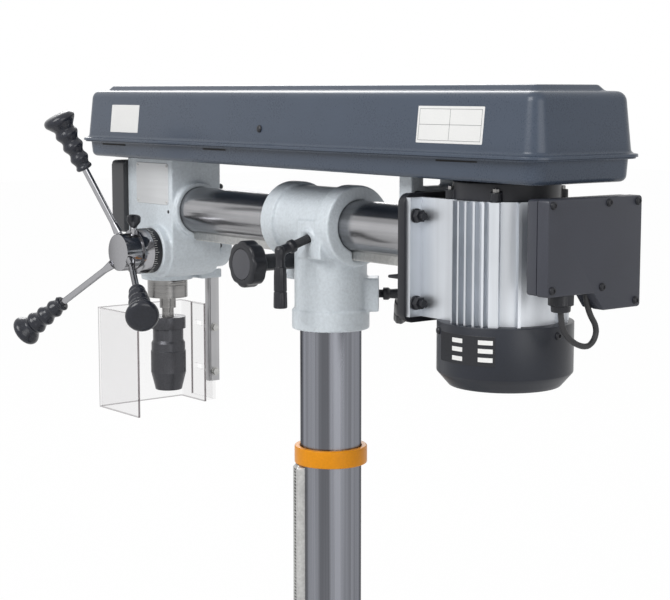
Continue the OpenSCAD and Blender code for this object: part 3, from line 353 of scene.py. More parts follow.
def lathe(profile, origin, axis, sides=64):
    """Rings of (radius, distance) pairs in millimetres, turned about an axis from an origin in metres."""
    axis = np.array(Vector(axis).normalized())
    first = np.array(Vector(axis).orthogonal().normalized())
    second = np.cross(axis, first)
    turn = (np.arange(sides) * 2 * np.pi / sides)[:, None]
    spoke = np.cos(turn) * first + np.sin(turn) * second
    profile = np.asarray(profile, float)[:, :, None, None] / 1000
    return np.asarray(origin, float) + profile[:, 1] * axis + profile[:, 0] * spoke


def filleted(points, radii, steps=6, closed=False):
    """A line of points whose corners become arcs of these radii; an open line keeps its two ends."""
    points = np.asarray(points, float)
    around = np.vstack([points[-1:], points, points[:1]]) if closed else points
    bends = [radii] * (len(around) - 2) if np.isscalar(radii) else radii
    out = [] if closed else [points[:1]]
    for before, corner, after, radius in zip(around[:-2], around[1:-1], around[2:], bends):
        u = (before - corner) / np.linalg.norm(before - corner)
        w = (after - corner) / np.linalg.norm(after - corner)
        half_angle = math.acos(np.clip(u @ w, -1, 1)) / 2
        if half_angle > 1.56:
            out.append(corner[None])
            continue
        centre = corner + (u + w) / np.linalg.norm(u + w) * radius / math.sin(half_angle)
        start = corner + u * radius / math.tan(half_angle) - centre
        end = corner + w * radius / math.tan(half_angle) - centre
        sweep = math.pi - 2 * half_angle
        t = np.linspace(0, 1, steps + 1)[:, None]
        out.append(centre + (np.sin((1 - t) * sweep) * start + np.sin(t * sweep) * end) / math.sin(sweep))
    if not closed:
        out.append(points[-1:])
    return np.vstack(out)


ring_low, ring_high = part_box("rack_ring")
ring_r = (ring_high.x - ring_low.x) * 500
ring_h = (ring_high.z - ring_low.z) * 1000
tube_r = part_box("column_tube")[1].x * 1000 + 0.05
ring_profile = filleted([(tube_r, 0), (ring_r, 0), (ring_r, ring_h), (tube_r, ring_h)], 1.6, closed=True)
piece("rack_ring_band", skin(lathe(ring_profile, (0, 0, ring_low.z), (0, 0, 1), 96), closed=True),
      orange_paint, "base", node="rack_ring")

# Column rack: a drawn bar that hugs the tube, its teeth milled along the middle of its outer face.
# Plain rims are left on both sides of the teeth, and the upper end is chamfered under the ring.
rack_corners = np.array([corner.co for corner in nodes["column_rack"].data.vertices]) * 1000
rack_out = rack_corners[:, :2].mean(axis=0)
rack_out /= np.linalg.norm(rack_out)
rack_side = np.array((-rack_out[1], rack_out[0]))
rack_reach = rack_corners[:, :2] @ rack_out
rack_tip = rack_reach.max()
rack_half = np.abs(rack_corners[:, :2] @ rack_side).max()
rack_foot, rack_top = rack_corners[:, 2].min(), rack_corners[:, 2].max()
tooth_depth = 2.5
tooth_line = np.column_stack([rack_corners[:, 2], rack_reach])[rack_reach > rack_tip - tooth_depth]
tooth_line = np.unique(np.round(tooth_line, 3), axis=0)
tooth_line = tooth_line[(tooth_line[:, 0] > rack_foot + 4) & (tooth_line[:, 0] < rack_top - 4)]


def rack_loop(z, reach, inset):
    """The bar's outline at a height: a hollow back on the tube, two rims, the tooth row's reach between."""
    half, rim, row, ease = rack_half - inset, rack_tip - inset, 3.6, 0.7
    tooth = min(reach, rim - 0.05)
    back = math.sqrt((tube_r + 0.1) ** 2 - half ** 2)
    flat = np.array([
        (back, half), (rim - ease, half), (rim, half - ease), (rim, row), (tooth, row - 0.1),
        (tooth, 0.1 - row), (rim, -row), (rim, ease - half), (rim - ease, -half), (back, -half),
        (tube_r + 0.1, 0),
    ])
    return np.insert(flat[:, :1] * rack_out + flat[:, 1:] * rack_side, 2, z, axis=1) / 1000


chamfer_rise, chamfer_depth = 3.4, 2.4
rack_rings = [rack_loop(rack_foot, rack_tip, 0), rack_loop(tooth_line[0, 0] - 0.1, rack_tip, 0)]
rack_rings += [rack_loop(z, reach, 0) for z, reach in tooth_line]
rack_rings += [
    rack_loop(tooth_line[-1, 0] + 0.1, rack_tip, 0),
    rack_loop(rack_top - chamfer_rise, rack_tip, 0),
    rack_loop(rack_top, rack_tip, chamfer_depth),
]
piece("column_rack_bar", skin(np.stack(rack_rings)), zinc, body_of["column_rack"],
      node="column_rack")

# Table: a ground iron plate on a post, in a cast bracket with a crank that climbs the rack.
# The crank is forged steel with a turned plastic grip.
ground_iron = finish("ground iron", (0.4, 0.4, 0.4), metal=1, rough=0.34, grain=120, stretch=(0.03, 1, 1),
                     vary=0.14)
forged_steel = finish("forged steel", (0.3, 0.3, 0.31), metal=1, rough=0.36, grain=260, vary=0.12, bump=0.1)
black_plastic = finish("black moulded plastic", (0.016, 0.017, 0.021), rough=0.34, grain=700, vary=0.2,
                       bump=0.15, depth=0.0003, shine=0.32)
poured("table_bracket_skin", "table_bracket", 0.002, 6, cast_paint)
coat_nodes(ground_iron, "table_plate")
coat_nodes(forged_steel, "table_crank")
poured("crank_grip_skin", "crank_grip", 0.0008, 6, black_plastic)

# Clamp levers: a threaded stud, a ball joint and a hanging plastic grip with a notched cap on its end.
# One each clamps the ram, the column and the table.
def lobed(profile, origin, axis, lobes, depth, outer, sides=128, lead=0.0):
    """A lathe form that dips between lobes: by the depth at the outer radius, by none within 0.7 of it."""
    rings = lathe(profile, origin, axis, sides)
    turn = np.arange(sides) * 2 * np.pi / sides
    share = np.clip((np.asarray(profile)[:, :1] / outer - 0.7) / 0.3, 0, 1)
    dip = 1 - share * depth / outer * (0.5 - 0.5 * np.cos(lobes * turn + lead)) ** 2
    middle = rings.mean(axis=1, keepdims=True)
    return middle + (rings - middle) * dip[:, :, None]


def heading(degrees):
    """A level unit vector, turned by these degrees from the X axis."""
    return np.array((math.cos(math.radians(degrees)), math.sin(math.radians(degrees)), 0))


grip_line = filleted([
    (0.3, -6.6), (4.4, -6), (6.4, -2.5), (6.4, 3), (5.2, 9), (5.5, 17.5), (6.8, 18.2), (7.4, 27), (7.6, 45),
    (7, 45.5), (7, 46.3), (7.7, 46.8), (8, 59.5), (8, 64), (7.2, 65), (5, 65), (4.6, 62), (0.3, 62),
], [1.2, 2, 2, 3, 1, 0.5, 0.3, 0.5, 0.2, 0.2, 0.2, 0.3, 0.6, 0.4, 0.3, 0.3], steps=3)
stud_threads = [(4.7 + 0.3 * (k % 2), k * 0.6) for k in range(40)]
ram_lock_dip = math.radians(17.5)
ram_lock_axis = (math.cos(ram_lock_dip), 0, -math.sin(ram_lock_dip))
column_lock_axis = heading(140)
column_lock_hang = (-0.527, -0.627, -0.574)
straight_down = (0, 0, -1)
for lever_node, origin, axis, stud, stand, hang in (
    ("ram_lock_lever", (0, 0.016, ram_z), ram_lock_axis, 30.4, 65, straight_down),
    ("column_lock_lever", (0, 0, ram_z - 0.083), column_lock_axis, 37, 57.4, column_lock_hang),
    ("table_lock_lever", (0, 0.0625, 0.1626), (-1, 0, 0), -15.5, 16.4, straight_down),
):
    stem_end = stand + 25
    plain_stud = [(0.3, stud), (5, stud), (5, stand - 20)]
    thread = [(r, stand - 19.5 + far) for r, far in stud_threads]
    ball = filleted([
        (4.6, stand + 4), (7.6, stand + 5), (7.6, stand + 11), (5.6, stand + 12.5), (6, stand + 19),
        (6.2, stem_end), (0.3, stem_end),
    ], [0.5, 3, 2, 1, 1], steps=4)
    stem_shell = skin(lathe(plain_stud + thread + ball.tolist(), origin, axis, 40))
    elbow = Vector(origin) + Vector(axis) * stem_end / 1000
    grip_shell = skin(lobed(grip_line, elbow, hang, 8, 0.5, 8, 64))
    piece(lever_node + "_moulding", joined(stem_shell, grip_shell), black_plastic, body_of[lever_node],
          node=lever_node, sharp=45)

# Cross sleeve: one grey iron casting that grips the column below and lets the ram slide through its barrel.
# It has end collars, a flat pad on its side and bosses for the two clamp screws.
poured("cross_sleeve_skin", "cross_sleeve", 0.0014, 8, cast_paint)

# Ram feed knob: a moulded knob with eight shallow lobes and a grey disc in its face.
# Its neck sits on a steel shaft whose pinion drives the ram's rack.
knob_low, knob_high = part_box("ram_feed_knob")
knob_y = (knob_low.y + knob_high.y) / 2
knob_z = (knob_low.z + knob_high.z) / 2
knob_r = (knob_high.y - knob_low.y) * 500
knob_t = 20
knob_back = knob_high.x * 1000 - knob_t
neck_back = knob_low.x * 1000
knob_profile = filleted([
    (0.5, neck_back), (10, neck_back), (10, knob_back - 6), (16, knob_back), (knob_r, knob_back),
    (knob_r, knob_back + knob_t), (18.5, knob_back + knob_t), (18, knob_back + knob_t - 1.2),
    (0.5, knob_back + knob_t - 1.2),
], [0.5, 3, 2, 3.5, 4, 0.5, 0.4])
piece("ram_knob_moulding", skin(lobed(knob_profile, (0, knob_y, knob_z), (1, 0, 0), 8, 1.9, knob_r)),
      black_plastic, "ram_knob", node="ram_feed_knob")
knob_grey = finish("grey knob disc", (0.06, 0.061, 0.07), rough=0.45, grain=600, vary=0.12, shine=0.4)
face_profile = filleted([(17.9, -1), (17.9, 0), (0.5, 0.2)], [0.5])
piece("ram_knob_disc", skin(lathe(face_profile, ((knob_back + knob_t) / 1000, knob_y, knob_z), (1, 0, 0))),
      knob_grey, "ram_knob")
turned_steel = finish("turned steel", (0.28, 0.275, 0.27), metal=1, rough=0.3, grain=260,
                      stretch=(0.05, 0.05, 1), vary=0.22)
coat_nodes(turned_steel, "ram_pinion")

# Ram: a ground steel tube, bright, with fine grinding streaks along its length and broad light and dark bands
# painted into its colour as painted reflections.
# A plated rack runs along its underside, where the feed knob's pinion meets it.
ram_steel_with_painted_bands = finish("ground ram steel with painted reflection bands", (0.31, 0.31, 0.32), metal=1, rough=0.2, grain=45,
                   stretch=(1, 0.012, 1), vary=0.45, rough_vary=0.07, blotch=0.12)
coat_nodes(ram_steel_with_painted_bands, "ram_tube")
coat_nodes(zinc, "ram_rack")

# Head: a grey iron casting clamped on the ram's end, with a bare bright plate riveted to its right side.
# The spring cap on its left is cast too, held by two thin nuts.
bright_plate = finish("bare bright plate", (0.6, 0.61, 0.62), metal=0.35, rough=0.42, grain=180,
                      stretch=(1, 0.04, 1), vary=0.05)
black_coat = finish("black powder coat", (0.013, 0.0138, 0.018), rough=0.42, grain=900, vary=0.2, bump=0.15,
                    depth=0.0002, shine=0.35)
poured("head_skin", "head_casting", 0.0014, 7, cast_paint)
poured("spring_cap_skin", "spring_cap", 0.001, 4, cast_paint)
coat_nodes(black_coat, "cap_nuts")
coat_nodes(turned_steel, "return_spring")


def rounded(u_range, v_range, inset, corner, steps=6):
    """A rectangle drawn in by the inset, with arcs of the corner's radius."""
    u0, u1 = u_range[0] + inset, u_range[1] - inset
    v0, v1 = v_range[0] + inset, v_range[1] - inset
    return filleted([(u0, v0), (u1, v0), (u1, v1), (u0, v1)], corner, steps, closed=True)


def wall_patch(y_range, z_range, corner, x_levels, steps=4):
    """A thin raised patch on a side wall: rounded rectangles at (inset, x) levels, x a function of height."""
    loops = []
    for inset, x_at in x_levels:
        flat = rounded(y_range, z_range, inset, max(corner - inset, 0.15), steps)
        loops.append(np.column_stack([x_at(flat[:, 1]), flat]) / 1000 + (0, 0, ram_z))
    return skin(np.stack(loops))


head_half = 38


def head_wall(rise):
    """The head's side wall, which stands upright."""
    return lambda z: np.full(len(z), head_half + rise)


plate_y, plate_z, plate_rise = (-371, -293), (7, 61), 0.8
plate_levels = [(0, head_wall(-0.4)), (0, head_wall(0.5)), (0.4, head_wall(plate_rise))]
piece("bare_plate", wall_patch(plate_y, plate_z, 4, plate_levels, 6), bright_plate, "head",
      sharp=10)


def copies(profile, places, axis, sides, closed=False):
    """One lathe form at each of the places, as one shell."""
    return joined(*[skin(lathe(profile, place, axis, sides), closed=closed) for place in places])


def dome_heads(places, axis, radius, rise, sides=20):
    """Round screw or rivet heads at places, each a low dome with a rounded edge."""
    profile = filleted([(radius, -0.6), (radius, rise * 0.55), (radius * 0.55, rise), (0.2, rise)],
                       [rise * 0.4, rise * 0.5], steps=4)
    return copies(profile, places, axis, sides)


rivet_inset = 4
rivet_places = [((head_half + plate_rise) / 1000, y / 1000, ram_z + z / 1000)
                for y in (plate_y[0] + rivet_inset, plate_y[1] - rivet_inset)
                for z in (plate_z[0] + rivet_inset, plate_z[1] - rivet_inset)]
piece("plate_rivets", dome_heads(rivet_places, (1, 0, 0), 1.7, 0.9), zinc, "head")
set_screws = joined(
    dome_heads([(head_half / 1000, -0.294, ram_z - 0.0017)], (1, 0, 0), 2.3, 0.5),
    dome_heads([(-head_half / 1000, -0.289, ram_z + 0.0287)], (-1, 0, 0), 4.2, 6),
    dome_heads([(-head_half / 1000, -0.291, ram_z - 0.05)], (-1, 0, 0), 3.6, 5),
)
piece("head_set_screws", set_screws, black_coat, "head")

# Switch box: a dark grey moulded box on the head's front, with a green start and a red stop button.
# A flat back closes it behind the buttons.
green_plastic = finish("green button", (0.02, 0.3, 0.06), rough=0.3, grain=500, vary=0.06)
red_plastic = finish("red button", (0.55, 0.015, 0.012), rough=0.3, grain=500, vary=0.06)
switch_grey = finish("switch box grey", (0.045, 0.046, 0.05), rough=0.5, grain=800, vary=0.1, bump=0.15,
                     depth=0.0002)
poured("switch_box_moulding", "switch_box", 0.001, 4, switch_grey)
switch_low, switch_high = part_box("switch_box")
back_line = rounded((switch_low.x, switch_high.x), (switch_low.z, switch_high.z), 0, 0.006)
back_middle = back_line.mean(axis=0)
back_line = back_middle + (back_line - back_middle) * 0.97
back_rings = np.stack([np.insert(back_line, 1, switch_high.y - far, axis=1) for far in (0.0022, 0.0003)])
piece("switch_box_back", skin(back_rings), switch_grey, "head")
poured("start_button_moulding", "start_button", 0.0006, 5, green_plastic)
poured("stop_button_moulding", "stop_button", 0.0006, 5, red_plastic)

# Quill and spindle: turned and ground steel on ball bearings.
# The shaft whose pinion lowers the quill is turned from the same steel.
coat_nodes(turned_steel, "quill", "quill_bearings", "spindle", "feed_shaft")

# Chuck: a keyless drill chuck in dark grey, a knurled collar over a long sleeve with fluted grip.
# Three hard steel jaws close in its nose.
chuck_grey = finish("chuck grey", (0.062, 0.063, 0.07), metal=0.7, rough=0.36, grain=700, vary=0.2, bump=0.1,
                    depth=0.0002)
spindle_y = -0.358
chuck_low, chuck_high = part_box("chuck_sleeve")
sleeve_len = (chuck_high.z - chuck_low.z) * 1000
sleeve_r = (chuck_high.x - chuck_low.x) * 500
coat_nodes(turned_steel, "chuck_jaw_1", "chuck_jaw_2", "chuck_jaw_3")


def knurled(profile, origin, axis, ribs, depth, band, sides=240):
    """A lathe form whose radius swells and dips in fine ribs where its distance is within the band."""
    rings = lathe(profile, origin, axis, sides)
    turn = np.arange(sides) * 2 * np.pi / sides
    far = np.asarray(profile)[:, 1]
    within = np.clip((far - band[0]) / 0.8, 0, 1) * np.clip((band[1] - far) / 0.8, 0, 1)
    middle = rings.mean(axis=1, keepdims=True)
    radius = np.asarray(profile)[:, 0] / 1000
    shift = -within[:, None] * depth / 1000 * (0.5 + 0.5 * np.cos(ribs * turn))
    return middle + (rings - middle) * (1 + shift / radius[:, None])[:, :, None]


sleeve_profile = filleted([
    (12.2, 4.6), (12.2, 0), (18, 0), (18.7, 3.5), (sleeve_r, 24), (sleeve_r, 25),
    (sleeve_r, 52), (sleeve_r, 53), (sleeve_r - 0.9, 53.7), (sleeve_r - 0.9, 64),
    (20.6, 68), (20.6, sleeve_len), (18.9, sleeve_len), (18.9, 4.6),
], [0.3, 1.2, 1.5, 0.4, 0.4, 0.4, 0.4, 0.3, 3, 2, 0.5, 0.2], steps=4)
sleeve_rings = knurled(sleeve_profile, (0, spindle_y, chuck_low.z), (0, 0, 1), 80, 0.5, (24.5, 52.5))
piece("chuck_sleeve_turned", skin(sleeve_rings, closed=True), chuck_grey, "chuck",
      node="chuck_sleeve")
eased("chuck_collar", "chuck_body", 0.0014, chuck_grey)

# Feed hub: a chromed drum with a brushed face and a raised ring, behind it a black dial with white ticks.
# The dial is clamped by a small knob.
chrome = finish("chrome plate", (0.38, 0.38, 0.395), metal=1, rough=0.13, grain=300, vary=0.04,
                rough_vary=0.04, rim=0.3)
white_ink = finish("white ink", (0.75, 0.75, 0.74), rough=0.5, grain=800, vary=0.05)
hub_low, hub_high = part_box("feed_hub")
feed_y = (hub_low.y + hub_high.y) / 2
feed_z = (hub_low.z + hub_high.z) / 2
hub_back = hub_low.x * 1000
hub_face = hub_high.x * 1000
dial_r = (hub_high.y - hub_low.y) * 500
eased("feed_hub_turned", "feed_hub", 0.0008, chrome)
coat_nodes(chrome, "feed_levers")
dial_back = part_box("depth_dial")[0].x * 1000
dial_lip = 0.8
dial_profile = filleted([
    (10.1, dial_back), (dial_r, dial_back), (dial_r, dial_back + dial_lip),
    (dial_r, hub_back - dial_lip), (dial_r, hub_back), (10.1, hub_back),
], [0.4, 0.1, 0.1, 0.4], steps=3)
dial_band = (dial_back + 0.4, hub_back - 0.4)
dial_rings = knurled(dial_profile, (0, feed_y, feed_z), (1, 0, 0), 60, 0.35, dial_band)
piece("depth_dial_moulding", skin(dial_rings, closed=True), black_plastic, "feed",
      node="depth_dial")
clamp_foot = np.array(((hub_back + 16.5) / 1000, feed_y, feed_z))
clamp_axis = (0, 0.12, 1)
clamp_base = filleted([(4.6, 22), (4.6, 31.5), (3.2, 33), (0.3, 33)], [0.8, 0.4])
piece("dial_clamp_base", skin(lathe(clamp_base, clamp_foot, clamp_axis, 32)), chrome, "feed")
clamp_knob = filleted([
    (0.3, 32), (4.2, 32.2), (5, 34), (9, 40), (9, 46), (6.5, 48.5), (2.5, 45.5), (0.3, 45.5),
], [0.5, 1, 3, 2, 1.5, 1])
piece("dial_clamp_knob", skin(lobed(clamp_knob, clamp_foot, clamp_axis, 2, 6.2, 9, 64, math.pi)),
      black_plastic, "feed")
tick_count = 60
tick_shells = []
for k in range(tick_count):
    turn = k * 2 * math.pi / tick_count
    length = 3.2 if k % 5 else 5.5
    out = np.array((0, math.cos(turn), math.sin(turn)))
    side = np.array((0, -math.sin(turn), math.cos(turn))) * 0.0002
    base = np.array((0, feed_y, feed_z)) + out * (dial_r - 0.25) / 1000
    lip = np.array(((hub_back - dial_lip) / 1000, 0, 0))
    end = np.array(((hub_back - dial_lip - length) / 1000, 0, 0))
    square = np.stack([base + lip - side, base + lip + side, base + end + side, base + end - side])
    tick_shells.append(skin(np.stack([square, square + out * 0.00045])))
piece("dial_ticks", joined(*tick_shells), white_ink, "feed")

# Feed levers: three chromed rods screwed into the hub, leaning outwards from its face.
# Each ends in a ribbed black grip that flares to a round end.
lever_root = np.array(((hub_face - 16) / 1000, feed_y, feed_z))
lever_cone = math.radians(25)
lever_len = 199
grip_len = 78
first_lever = 100
grip_profile = smooth_path([
    (4.3, 0), (8, 0.1), (9.8, 1.2), (10.5, 3.5), (9, 8), (12, 16), (9.5, 24), (13.5, 33), (11, 41), (15, 50),
    (12.8, 57), (16.2, 62.5), (19.6, 67), (20.6, 70.5), (19.6, 74), (16.4, 76.6), (10, 77.8), (0.3, 78),
], 6)
grip_shells = []
for k in range(3):
    turn = math.radians(first_lever + 120 * k)
    spread = math.cos(lever_cone)
    way = np.array((math.sin(lever_cone), spread * math.cos(turn), spread * math.sin(turn)))
    grip_foot = lever_root + way * (lever_len - grip_len) / 1000
    grip_shells.append(skin(lathe(grip_profile, grip_foot, way, 64)))
grip_plastic = finish("grained grip plastic", (0.018, 0.02, 0.028), rough=0.24, grain=420, vary=0.2,
                      rough_vary=0.08, bump=0.07, depth=0.0003, shine=0.6, rim=0.6)
piece("lever_grip_mouldings", joined(*grip_shells), grip_plastic, "feed",
      node="lever_grips")

# Guard: a clear sheet bent round the chuck, hung on an anodised bar by two screws.
# Its cut ends are dark and dense, the sheet's tint deepened by painted shade; its rims and near bends get
# half as much painted shade, standing in for light the sheet bends and reflects there; its broad faces hardly
# show.
def clear_finish(name, color, alpha, slanted, rough):
    """A see-through sheet: most light passes straight on, less where the sheet is met at a slant, where its
    dark tint thickens as painted shade.
    """
    material = finish(name, color, rough=rough, grain=60, vary=0.06, rough_vary=0.02)
    tree = material.node_tree
    slant = shader_node(tree, "LayerWeight", {"Blend": 0.16})
    dense = shader_node(tree, "MapRange", {"To Min": alpha, "To Max": slanted})
    tree.links.new(slant.outputs["Facing"], dense.inputs["Value"])
    tree.links.new(dense.outputs["Result"], tree.nodes["Principled BSDF"].inputs["Alpha"])
    return material


clear_sheet = clear_finish("clear sheet", (0.2, 0.165, 0.185), 0.022, 0.36, 0.06)
# The cut edge and rim materials carry painted shade: darker and denser than the sheet, they stand in for
# light bent and reflected at its edges and bends.
cut_edge_tint_and_shade = clear_finish("cut sheet edge, tint and painted shade", (0.085, 0.05, 0.06), 0.8, 0.95, 0.3)
rim_and_bend_shade = clear_finish("painted rim and bend shade", (0.11, 0.08, 0.09), 0.34, 0.6, 0.3)
anodised = finish("anodised aluminium", (0.42, 0.42, 0.43), metal=1, rough=0.36, grain=120,
                  stretch=(1, 1, 0.03), vary=0.1)
guard = reworked("guard_bent_sheet", "guard_sheet", clear_sheet, [])
guard.data.materials.append(cut_edge_tint_and_shade)
guard.data.materials.append(rim_and_bend_shade)
guard_low, guard_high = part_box("guard_sheet")
edge_band = 0.0012
guard_shape = bmesh.new()
guard_shape.from_mesh(guard.data)
for band_z in (guard_low.z + edge_band, guard_high.z - edge_band):
    whole = guard_shape.verts[:] + guard_shape.edges[:] + guard_shape.faces[:]
    bmesh.ops.bisect_plane(guard_shape, geom=whole, plane_co=(0, 0, band_z), plane_no=(0, 0, 1))
guard_shape.to_mesh(guard.data)
guard_shape.free()
face_count = len(guard.data.polygons)
guard_normals = np.empty(face_count * 3)
guard_middles = np.empty(face_count * 3)
guard.data.polygons.foreach_get("normal", guard_normals)
guard.data.polygons.foreach_get("center", guard_middles)
guard_normals = guard_normals.reshape(-1, 3)
guard_x, guard_y, guard_z = guard_middles.reshape(-1, 3).T
wing_end_y = (-0.37, -0.327, -0.398)
wing_ends = np.abs(np.subtract.outer(wing_end_y, guard_y)).min(axis=0) < 0.0006
# Faces on the near bends and in bands along the top and bottom rims take the rim material: painted shade.
guard_bend_shade = (np.abs(guard_normals[:, 0]) > 0.25) & (np.abs(guard_normals[:, 1]) > 0.25) & (guard_x > 0)
guard_rim_shade = (guard_z < guard_low.z + edge_band) | (guard_z > guard_high.z - edge_band)
guard_cut = (np.abs(guard_normals[:, 1]) > 0.5) & wing_ends
guard_look = np.where(guard_cut, 1, np.where(guard_bend_shade | guard_rim_shade, 2, 0))
guard.data.polygons.foreach_set("material_index", guard_look.astype(np.int32))
bar_low, bar_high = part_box("guard_bar")
bar_middle = ((bar_low.x + bar_high.x) / 2, (bar_low.y + bar_high.y) / 2)
bar_section = filleted([
    (-8, -5), (8, -5), (8, 5), (7.3, 5), (7.3, 3.4), (5.5, 3.4), (5.5, 5), (-8, 5),
], 0.35, steps=3, closed=True) / 1000 + bar_middle
bar_levels = (bar_low.z, bar_low.z + 0.0001, bar_high.z - 0.0001, bar_high.z)
bar_rings = np.stack([np.insert(bar_section, 2, z, axis=1) for z in bar_levels])
piece("guard_bar_drawn", skin(bar_rings), anodised, "guard", node="guard_bar")
coat_nodes(zinc, "guard_screws")

# Belt cover: pressed steel sheet in slate paint, a hinged lid over a shallow tray, each with a rolled rim.
# The lid's sides lean in to a soft shoulder under a raised panel.
slate = finish("slate paint", (0.054, 0.07, 0.099), rough=0.29, grain=600, vary=0.06, rough_vary=0.04,
               bump=0.1, depth=0.0003, shine=0.31)
tray_low, tray_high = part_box("cover_tray")
cover_half = tray_high.x * 1000
cover_front = tray_low.y * 1000
cover_back = tray_high.y * 1000
cover_x, cover_y = (-cover_half, cover_half), (cover_front, cover_back)
cover_corner = 28


def cover_loops(profile):
    """The cover's long rounded plan at each (inset, height), its corner arcs shrinking with the inset."""
    loops = []
    for inset, height in profile:
        flat = rounded(cover_x, cover_y, inset, max(cover_corner - inset, 8), 10)
        loops.append(np.insert(flat, 2, height, axis=1) / 1000 + (0, 0, ram_z))
    return np.stack(loops)


lid_outside = filleted([(0, 89.2), (0, 92.2), (7, 93), (13.5, 154.3), (30, 154.9), (35, 161), (72, 161.4)],
                       [1.3, 5, 11, 4, 3])
lid_inside = filleted([(72, 159.4), (36, 159), (31, 152.6), (15.7, 152.3), (9.2, 91), (4, 89.2)],
                      [3, 4, 9, 3])
piece("cover_lid_shell", skin(cover_loops(np.vstack([lid_inside, lid_outside]))), slate, "lid", sharp=50,
      node="cover_lid")
coat_nodes(slate, "lid_hinge")

# Cover tray: drawn from the same sheet, with a rounded lower edge and an underside that falls to the back.
# Two round holes let the shafts through. Three narrow vent slots lie under the rim on each side, not cut but
# drawn as thin near-black patches on the wall: painted shade where the open slots would be.
tray_under, tray_floor, tray_drop = 68, 70, 4
hole_r = 24
motor_y = 0.295
tray_profile = filleted([
    (26, tray_under), (12, tray_under), (10, 87.4), (2.2, 87.4),
    (2.2, 89), (12, 89), (14.2, tray_floor), (26, tray_floor),
], [7, 1.5, 0.7, 0.3, 1.5, 5])
tray_rings = cover_loops(tray_profile)
outside_rings = np.arange(len(tray_rings)) < 12
tray_fall = tray_drop * (tray_rings[..., 1] - cover_front / 1000) / (cover_back - cover_front)
tray_rings[..., 2] -= tray_fall * (outside_rings[:, None] & (tray_rings[..., 2] < ram_z + 0.08))
tray_shape = bmesh.new()
tray_points, tray_faces = skin(tray_rings, caps=False)
tray_corners = [tray_shape.verts.new(p) for p in tray_points]
for face in tray_faces:
    tray_shape.faces.new([tray_corners[i] for i in face])
rim_count = tray_rings.shape[1]
hole_turn = np.arange(64) * 2 * np.pi / 64
hole_rims = []
for floor_z, fall, first in ((tray_under, tray_drop, 0), (tray_floor, 0, len(tray_points) - rim_count)):
    outline = tray_corners[first:first + rim_count]
    edges = [tray_shape.edges.get((a, b)) for a, b in zip(outline, outline[1:] + outline[:1])]
    for hole_y in (spindle_y * 1000, motor_y * 1000):
        rim_x, rim_y = hole_r * np.cos(hole_turn), hole_y + hole_r * np.sin(hole_turn)
        rim_z = floor_z - fall * (rim_y - cover_front) / (cover_back - cover_front)
        rim_points = np.column_stack([rim_x, rim_y, rim_z]) / 1000 + (0, 0, ram_z)
        circle = [tray_shape.verts.new(p) for p in rim_points]
        edges += [tray_shape.edges.new((a, b)) for a, b in zip(circle, circle[1:] + circle[:1])]
        hole_rims.append(circle)
    bmesh.ops.triangle_fill(tray_shape, edges=edges, use_beauty=True)
for low_rim, high_rim in zip(hole_rims[:2], hole_rims[2:]):
    for a, b, c, d in zip(low_rim, low_rim[1:] + low_rim[:1], high_rim[1:] + high_rim[:1], high_rim):
        tray_shape.faces.new((a, b, c, d))
tray_shape.verts.index_update()
tray_shell = (np.array([corner.co for corner in tray_shape.verts]),
              [[corner.index for corner in face.verts] for face in tray_shape.faces])
tray_shape.free()
piece("cover_tray_shell", tray_shell, slate, "head", node="cover_tray", sharp=45)
# The vent slots' near-black colour is painted shade, standing in for the dark inside seen through open slots.
painted_slot_shade = finish("painted slot shade", (0.008, 0.008, 0.009), rough=0.8, vary=0.1)


def tray_wall(rise):
    """The tray's side wall: it leans out from X 68.5 at its foot to X 71 under the rim."""
    return lambda z: 71 - (87.4 - z) * 2.5 / 19.4 + rise


slot_shells = [wall_patch(span, (83.4, 85.6), 0.8, [(0, tray_wall(-0.5)), (0, tray_wall(0.12))])
               for span in ((-403, -344), (-163, -114), (263, 325))]
slot_shells += [(points * (-1, 1, 1), faces) for points, faces in slot_shells]
piece("tray_vent_slot_shade", joined(*slot_shells), painted_slot_shade, "head")

# Lid stickers: a plain white one in front, and one with an empty four-field frame at the back.
# A black screw sits between them, and three hinge knuckles lie along the lid's far side.
white_vinyl = finish("white vinyl", (0.72, 0.72, 0.71), rough=0.4, grain=900, vary=0.03)


def lid_wall(rise):
    """The lid's side wall: it leans in from X 74 above the rim to X 67.5 under the shoulder."""
    return lambda z: 74 - (z - 93) * 6.5 / 61.3 + rise


sticker_levels = [(0, lid_wall(-0.3)), (0, lid_wall(0.2)), (0.2, lid_wall(0.28))]
piece("lid_stickers", joined(
    wall_patch((-378, -310), (101, 136.5), 1, sticker_levels),
    wall_patch((235, 334), (102, 139.5), 1, sticker_levels)), white_vinyl, "lid", sharp=10)
line_levels = [(0, lid_wall(0)), (0, lid_wall(0.36))]
frame_lines = [
    ((238, 331), (120.6, 121)), ((284.3, 284.7), (105, 136.6)), ((238, 331), (104.6, 105)),
    ((238, 331), (136.4, 136.8)), ((237.8, 238.2), (104.6, 136.8)), ((330.8, 331.2), (104.6, 136.8)),
]
sticker_ink = finish("sticker ink", (0.12, 0.12, 0.13), rough=0.5, vary=0.05)
piece("sticker_lines", joined(*[wall_patch(ys, zs, 0.16, line_levels) for ys, zs in frame_lines]),
      sticker_ink, "lid")
screw_z = 111
screw_place = (lid_wall(0)(screw_z) / 1000, -0.042, ram_z + screw_z / 1000)
piece("lid_screw", dome_heads([screw_place], (0.994, 0, 0.105), 4.2, 2.6, 32), black_coat, "lid")
knuckle_profile = filleted([(1.55, -20), (3, -20), (3, 20), (1.55, 20)], 0.3, closed=True)
knuckle_places = [(-(cover_half + 3.4) / 1000, y / 1000, ram_z + 0.0924) for y in (-300, 0, 260)]
piece("lid_knuckles", copies(knuckle_profile, knuckle_places, (0, 1, 0), 32, closed=True), slate, "lid")

